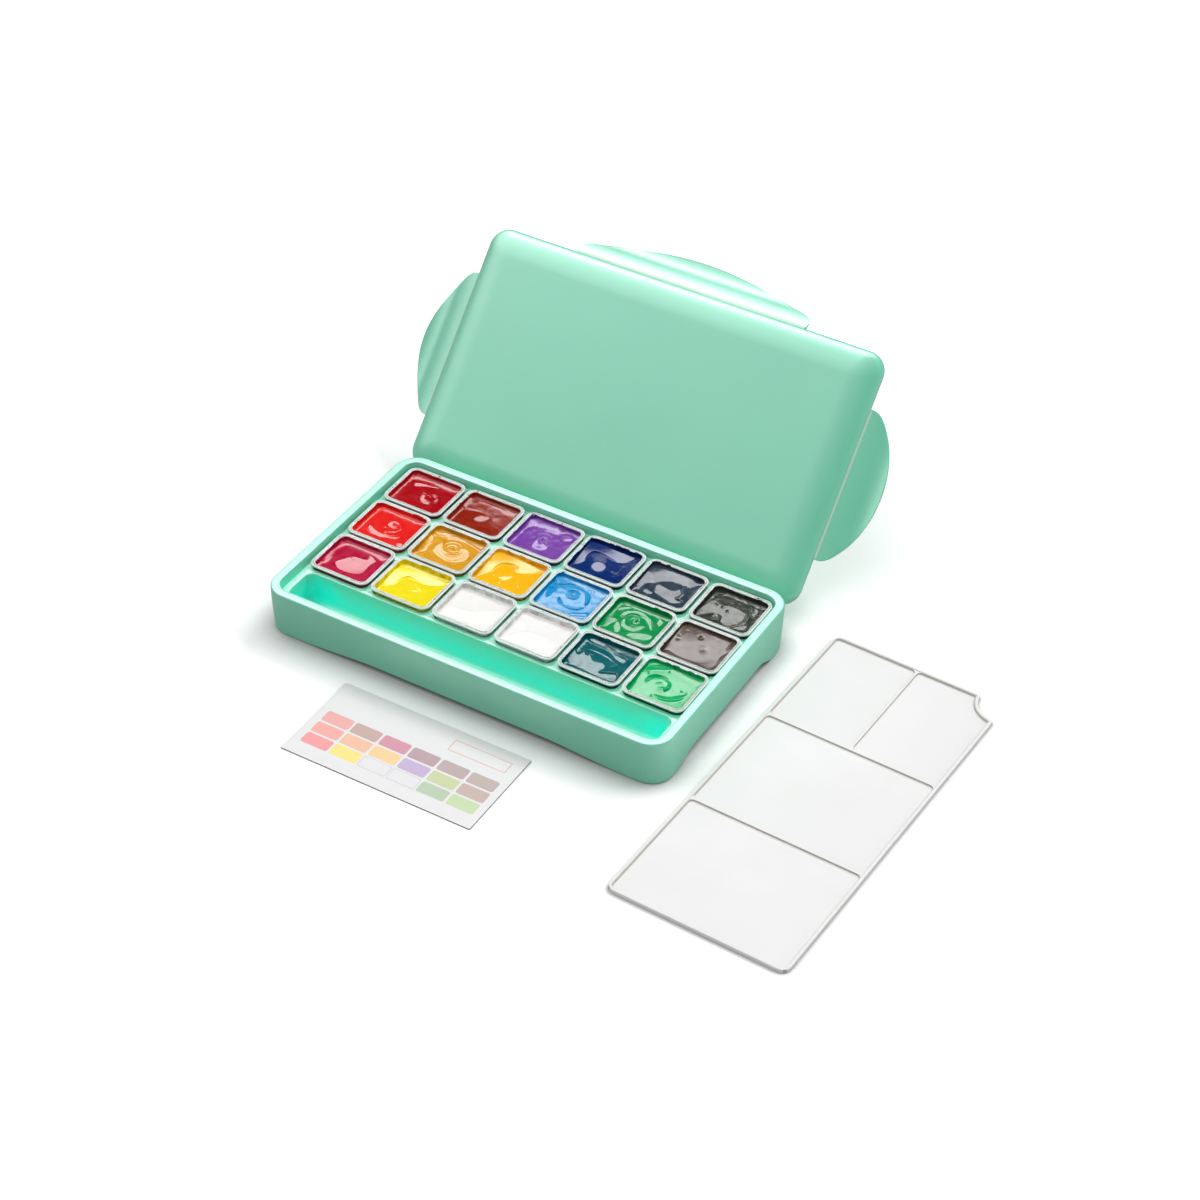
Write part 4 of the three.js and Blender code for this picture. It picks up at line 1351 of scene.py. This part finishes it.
def window_map(u, v, half_x, half_y, radius):
    """Takes a square grid from -1 to 1 onto a rounded rectangle."""
    x, y = u * half_x, v * half_y
    p = np.maximum(np.abs(x) - (half_x - radius), 0) / radius
    q = np.maximum(np.abs(y) - (half_y - radius), 0) / radius
    x_moved = np.sign(x) * (half_x - radius + radius * p * np.sqrt(1 - q * q / 2))
    y_moved = np.sign(y) * (half_y - radius + radius * q * np.sqrt(1 - p * p / 2))
    return np.where(p > 0, x_moved, x), np.where(q > 0, y_moved, y)


def round_edge(grid):
    """The entries along the edge of a grid, once round."""
    return [*grid[0], *(row[-1] for row in grid[1:-1]), *grid[-1][::-1],
            *(row[0] for row in grid[-2:0:-1])]


def make_paint(name, seed):
    """A filling: its sculpted surface, the film smeared above it, and its sides and floor."""
    base, streak, roughness, sculpt, film, lap = PAINTS[name]
    level = flange_top - PAINT_BELOW_FLANGE
    window = cup_section(CUP_WALL + PAINT_EDGE_INSET, level)
    u, v = np.meshgrid(np.linspace(-1, 1, PAINT_GRID[0]), np.linspace(-1, 1, PAINT_GRID[1]))
    x, y = window_map(u, v, *window)
    relief = Relief(x, y, window[0], window[1], seed)
    sculpt(relief)
    heights = level + PAINT_RISE * np.tanh(relief.height / PAINT_RISE)
    shell = Shell()
    rows = [shell.ring(zip(*line)) for line in zip(x, y, heights)]
    for near, far in zip(rows[:-1], rows[1:]):
        for index in range(len(near) - 1):
            shell.mesh.faces.new((near[index], near[index + 1], far[index + 1], far[index]))
    edge = round_edge(rows)
    sides = np.column_stack([round_edge(u), round_edge(v)])
    feet = np.array([vertex.co.z for vertex in edge])
    reach = smeared(sides, feet, film, lap, seed)
    rings = []
    for shares, away in ((FILM_SHARES, PAINT_FILM), ((*FILM_SHARES[::-1], 0), PAINT_SIDE_GAP)):
        for share in shares:
            rings.append([film_spot(side, foot, length * share, away)
                          for side, foot, length in zip(sides, feet, reach)])
    film_faces = len(rings) * len(sides)
    floor = cup_bottom + CUP_WALL
    for inset, height in ((PAINT_SIDE_GAP, floor + CUP_FLOOR_ROUND),
                          (CUP_FLOOR_ROUND, floor + PAINT_SIDE_GAP)):
        spots = window_map(sides[:, 0], sides[:, 1], *cup_section(CUP_WALL + inset, height))
        rings.append(raise_outline(np.column_stack(spots), height))
    surface = len(shell.mesh.faces)
    shell.pit(rings, edge)
    paint = shell.finish("paint_fill_" + name,
                         wet_paint("wet_" + name, colour(base), colour(streak), roughness),
                         stand_at(cup_centres[name]), sharp=70)
    # The film faces take the paint's colour darkened: painted shade on the walls of the cup
    smear = wet_paint("film_" + name, shaded(colour(base), FILM_PAINTED_SHADE), colour(base),
                      FILM_ROUGHNESS)
    face_with(paint, smear, lambda face: surface <= face.index < surface + film_faces)
    dress(paint, name + "_cup", "paint_" + name, "paint_" + name)


def waves(around, orders, random):
    """An uneven line round the cup, between about -1 and 1."""
    line = np.zeros(len(around))
    for order in orders:
        line += np.sin(order * around + random.uniform(0, 2 * math.pi)) / order ** 0.6
    return line / 2


def smeared(sides, feet, film, lap, seed):
    """How far paint is smeared up the walls at each place, and over the flange at the back."""
    random = np.random.default_rng(seed + 100)
    around = np.arctan2(sides[:, 1], sides[:, 0])
    wall = flange_top - FLANGE_EDGE_ROUND - feet
    share = film + (1 - film) * waves(around, FILM_WAVES, random)
    share = np.clip(share, FILM_LEAST_SHARE, 1)
    over = np.clip(waves(around, LAP_WAVES, random) + LAP_BIAS, 0, 1)
    over = np.clip(sides[:, 1], 0, 1) ** 4 * over
    return wall * share + np.where(share > FILM_FULL_SHARE, FLANGE_EDGE_ROUND + lap * over, 0)


def film_spot(side, foot, length, away):
    """A place on the film: up the wall, round the flange's edge and out over its top."""
    wall = flange_top - FLANGE_EDGE_ROUND - foot
    quarter_turn = FLANGE_EDGE_ROUND * math.pi / 2
    turn = min(max(length - wall, 0), quarter_turn) / FLANGE_EDGE_ROUND
    beyond = max(length - wall - quarter_turn, 0)
    height = foot + min(length, wall) + (FLANGE_EDGE_ROUND + away) * math.sin(turn)
    inset = (FLANGE_EDGE_ROUND + away) * math.cos(turn) - FLANGE_EDGE_ROUND - beyond
    x, y = window_map(*side, *cup_section(CUP_WALL + inset, min(height, flange_top)))
    return float(x), float(y), height


# Each filling: its colour, the colour of its streaks, its gloss, its shape, how far it is
# smeared up the walls, and how far over the flange
PAINTS = {
    "crimson": ((186, 4, 22), (168, 0, 16), 0.12, crimson, 0.9, 1.2),
    "burnt_sienna": ((156, 32, 2), (138, 24, 0), 0.12, burnt_sienna, 0.85, 1.8),
    "violet": ((122, 58, 164), (132, 76, 176), 0.12, violet, 0.95, 1.6),
    "navy": ((0, 38, 108), (6, 46, 116), 0.1, navy, 0.97, 0.4),
    "slate": ((42, 58, 74), (52, 68, 84), 0.1, slate, 0.95, 0.6),
    "black": ((46, 50, 42), (56, 60, 52), 0.12, black, 0.9, 1.2),
    "vermilion": ((236, 24, 24), (242, 38, 28), 0.12, vermilion, 0.95, 0.3),
    "ochre": ((218, 150, 4), (234, 172, 36), 0.14, ochre, 0.92, 1),
    "orange_yellow": ((255, 188, 4), (255, 196, 20), 0.12, orange_yellow, 0.95, 0.3),
    "sky_blue": ((0, 142, 206), (8, 154, 214), 0.12, sky_blue, 0.95, 1.4),
    "green": ((0, 144, 74), (6, 154, 84), 0.12, green, 0.96, 0.4),
    "umber": ((80, 62, 54), (92, 74, 66), 0.14, umber, 0.9, 2.2),
    "magenta": ((196, 0, 64), (180, 0, 56), 0.12, magenta, 0.88, 1.8),
    "lemon": ((250, 228, 0), (254, 236, 30), 0.12, lemon, 0.97, 0.2),
    "white": ((236, 235, 232), (242, 241, 239), 0.4, white, 0.95, 0.2),
    "second_white": ((237, 236, 234), (243, 242, 241), 0.4, second_white, 0.95, 0.2),
    "teal": ((0, 92, 98), (10, 106, 112), 0.1, teal, 0.95, 0.3),
    "bright_green": ((0, 172, 96), (8, 186, 110), 0.12, bright_green, 0.97, 0.2),
}

for place, cup_name in enumerate(cup_names):
    make_paint(cup_name, place)


def make_table():
    """The table: white, with a painted shadow near what stands on it, and plain white far from the middle.
    """
    shell = Shell()
    shell.pit([raise_outline(rounded_rect(TABLE_SIZE, TABLE_SIZE, TABLE_SIZE / 4), -FLOOR_DROP)])
    finish = Finish("table_top")
    tree = finish.tree
    # Painted shadow: the table darkens where an occlusion test finds things close by
    seen = finish.spread(finish.hollow(PAINTED_SHADOW_REACH), TABLE_WHITE * (1 - PAINTED_SHADOW_DEPTH),
                         TABLE_WHITE, 0.3, 1)
    albedo = by_ray(tree, TABLE_BOUNCE, ("Is Glossy Ray", TABLE_MIRRORED),
                    ("Is Transmission Ray", seen), ("Is Camera Ray", seen))
    sweep = finish.add("ShaderNodeBsdfDiffuse", {"Color": albedo})
    away = finish.add("ShaderNodeVectorMath", {0: finish.place}, operation="LENGTH")
    fade = finish.spread(away.outputs["Value"], 0, 1, *(reach * MM for reach in TABLE_FADE))
    backdrop = finish.add("ShaderNodeEmission")
    blended = finish.add("ShaderNodeMixShader", {
        0: by_ray(tree, 0, ("Is Camera Ray", fade)), 1: sweep.outputs[0], 2: backdrop.outputs[0]})
    feed(tree, blended.outputs[0], tree.nodes["Material Output"].inputs["Surface"])
    table = shell.finish("table", finish.material)


make_table()


def direction(azimuth, elevation):
    """Unit vector along an azimuth, where 0 is +Y and 90 is -X, and an elevation."""
    a, e = math.radians(azimuth), math.radians(elevation)
    return Vector((-math.sin(a) * math.cos(e), math.cos(a) * math.cos(e), math.sin(e)))


def looking(place, way):
    """Frame of a lamp or camera at a place that looks a way."""
    return Matrix.Translation(place * MM) @ way.to_track_quat("-Z", "Y").to_matrix().to_4x4()


def softbox(name, azimuth, elevation, spread, rise, strength):
    """A far lamp that spans so many degrees; its strength is its brightness, where 1 is white."""
    data = bpy.data.lights.new(name, "AREA")
    data.shape = "RECTANGLE"
    data.size, data.size_y = (2 * LAMP_DISTANCE * MM * math.tan(math.radians(span) / 2)
                              for span in (spread, rise))
    data.energy = strength * math.pi * data.size * data.size_y
    lamp = put_in_scene(name, data)
    way = direction(azimuth, elevation)
    middle = Vector((*tray_centre[:2], 0))
    lamp.matrix_world = looking(middle + LAMP_DISTANCE * way, -way)
    return lamp


def make_lights():
    """Two lamps that only reflections show, three that only shade, and an even white sky."""
    softbox("back_softbox", *BACK_SOFTBOX).visible_diffuse = False
    softbox("side_softbox", *SIDE_SOFTBOX).visible_diffuse = False
    softbox("rear_softbox", *REAR_SOFTBOX).visible_glossy = False
    softbox("top_softbox", *TOP_SOFTBOX).visible_glossy = False
    softbox("right_softbox", *RIGHT_SOFTBOX).visible_glossy = False
    world = bpy.data.worlds.new("studio")
    bpy.context.scene.world = world
    world.use_nodes = True
    background = world.node_tree.nodes["Background"]
    sky = by_ray(world.node_tree, SKY_DIFFUSE, ("Is Glossy Ray", SKY_GLOSSY),
                 ("Is Transmission Ray", 1), ("Is Camera Ray", 1))
    feed(world.node_tree, sky, background.inputs["Strength"])
    background.inputs["Color"].default_value = (1, 1, 1, 1)


def make_camera():
    """The camera that took the photo."""
    data = bpy.data.cameras.new("camera")
    data.sensor_width = SENSOR_WIDTH
    data.lens = SENSOR_WIDTH * FOCAL_PIXELS / PHOTO_PIXELS
    data.clip_end = 100
    camera = put_in_scene("camera", data)
    place = Vector((tray_centre[0], tray_low[1], 0)) + Vector(CAMERA_OFFSET)
    roll = Matrix.Rotation(math.radians(CAMERA_ROLL), 4, "Z")
    camera.matrix_world = looking(place, direction(CAMERA_AZIMUTH, -CAMERA_ELEVATION)) @ roll
    bpy.context.scene.camera = camera


make_lights()
make_camera()
bpy.context.scene.view_settings.view_transform = "Standard"
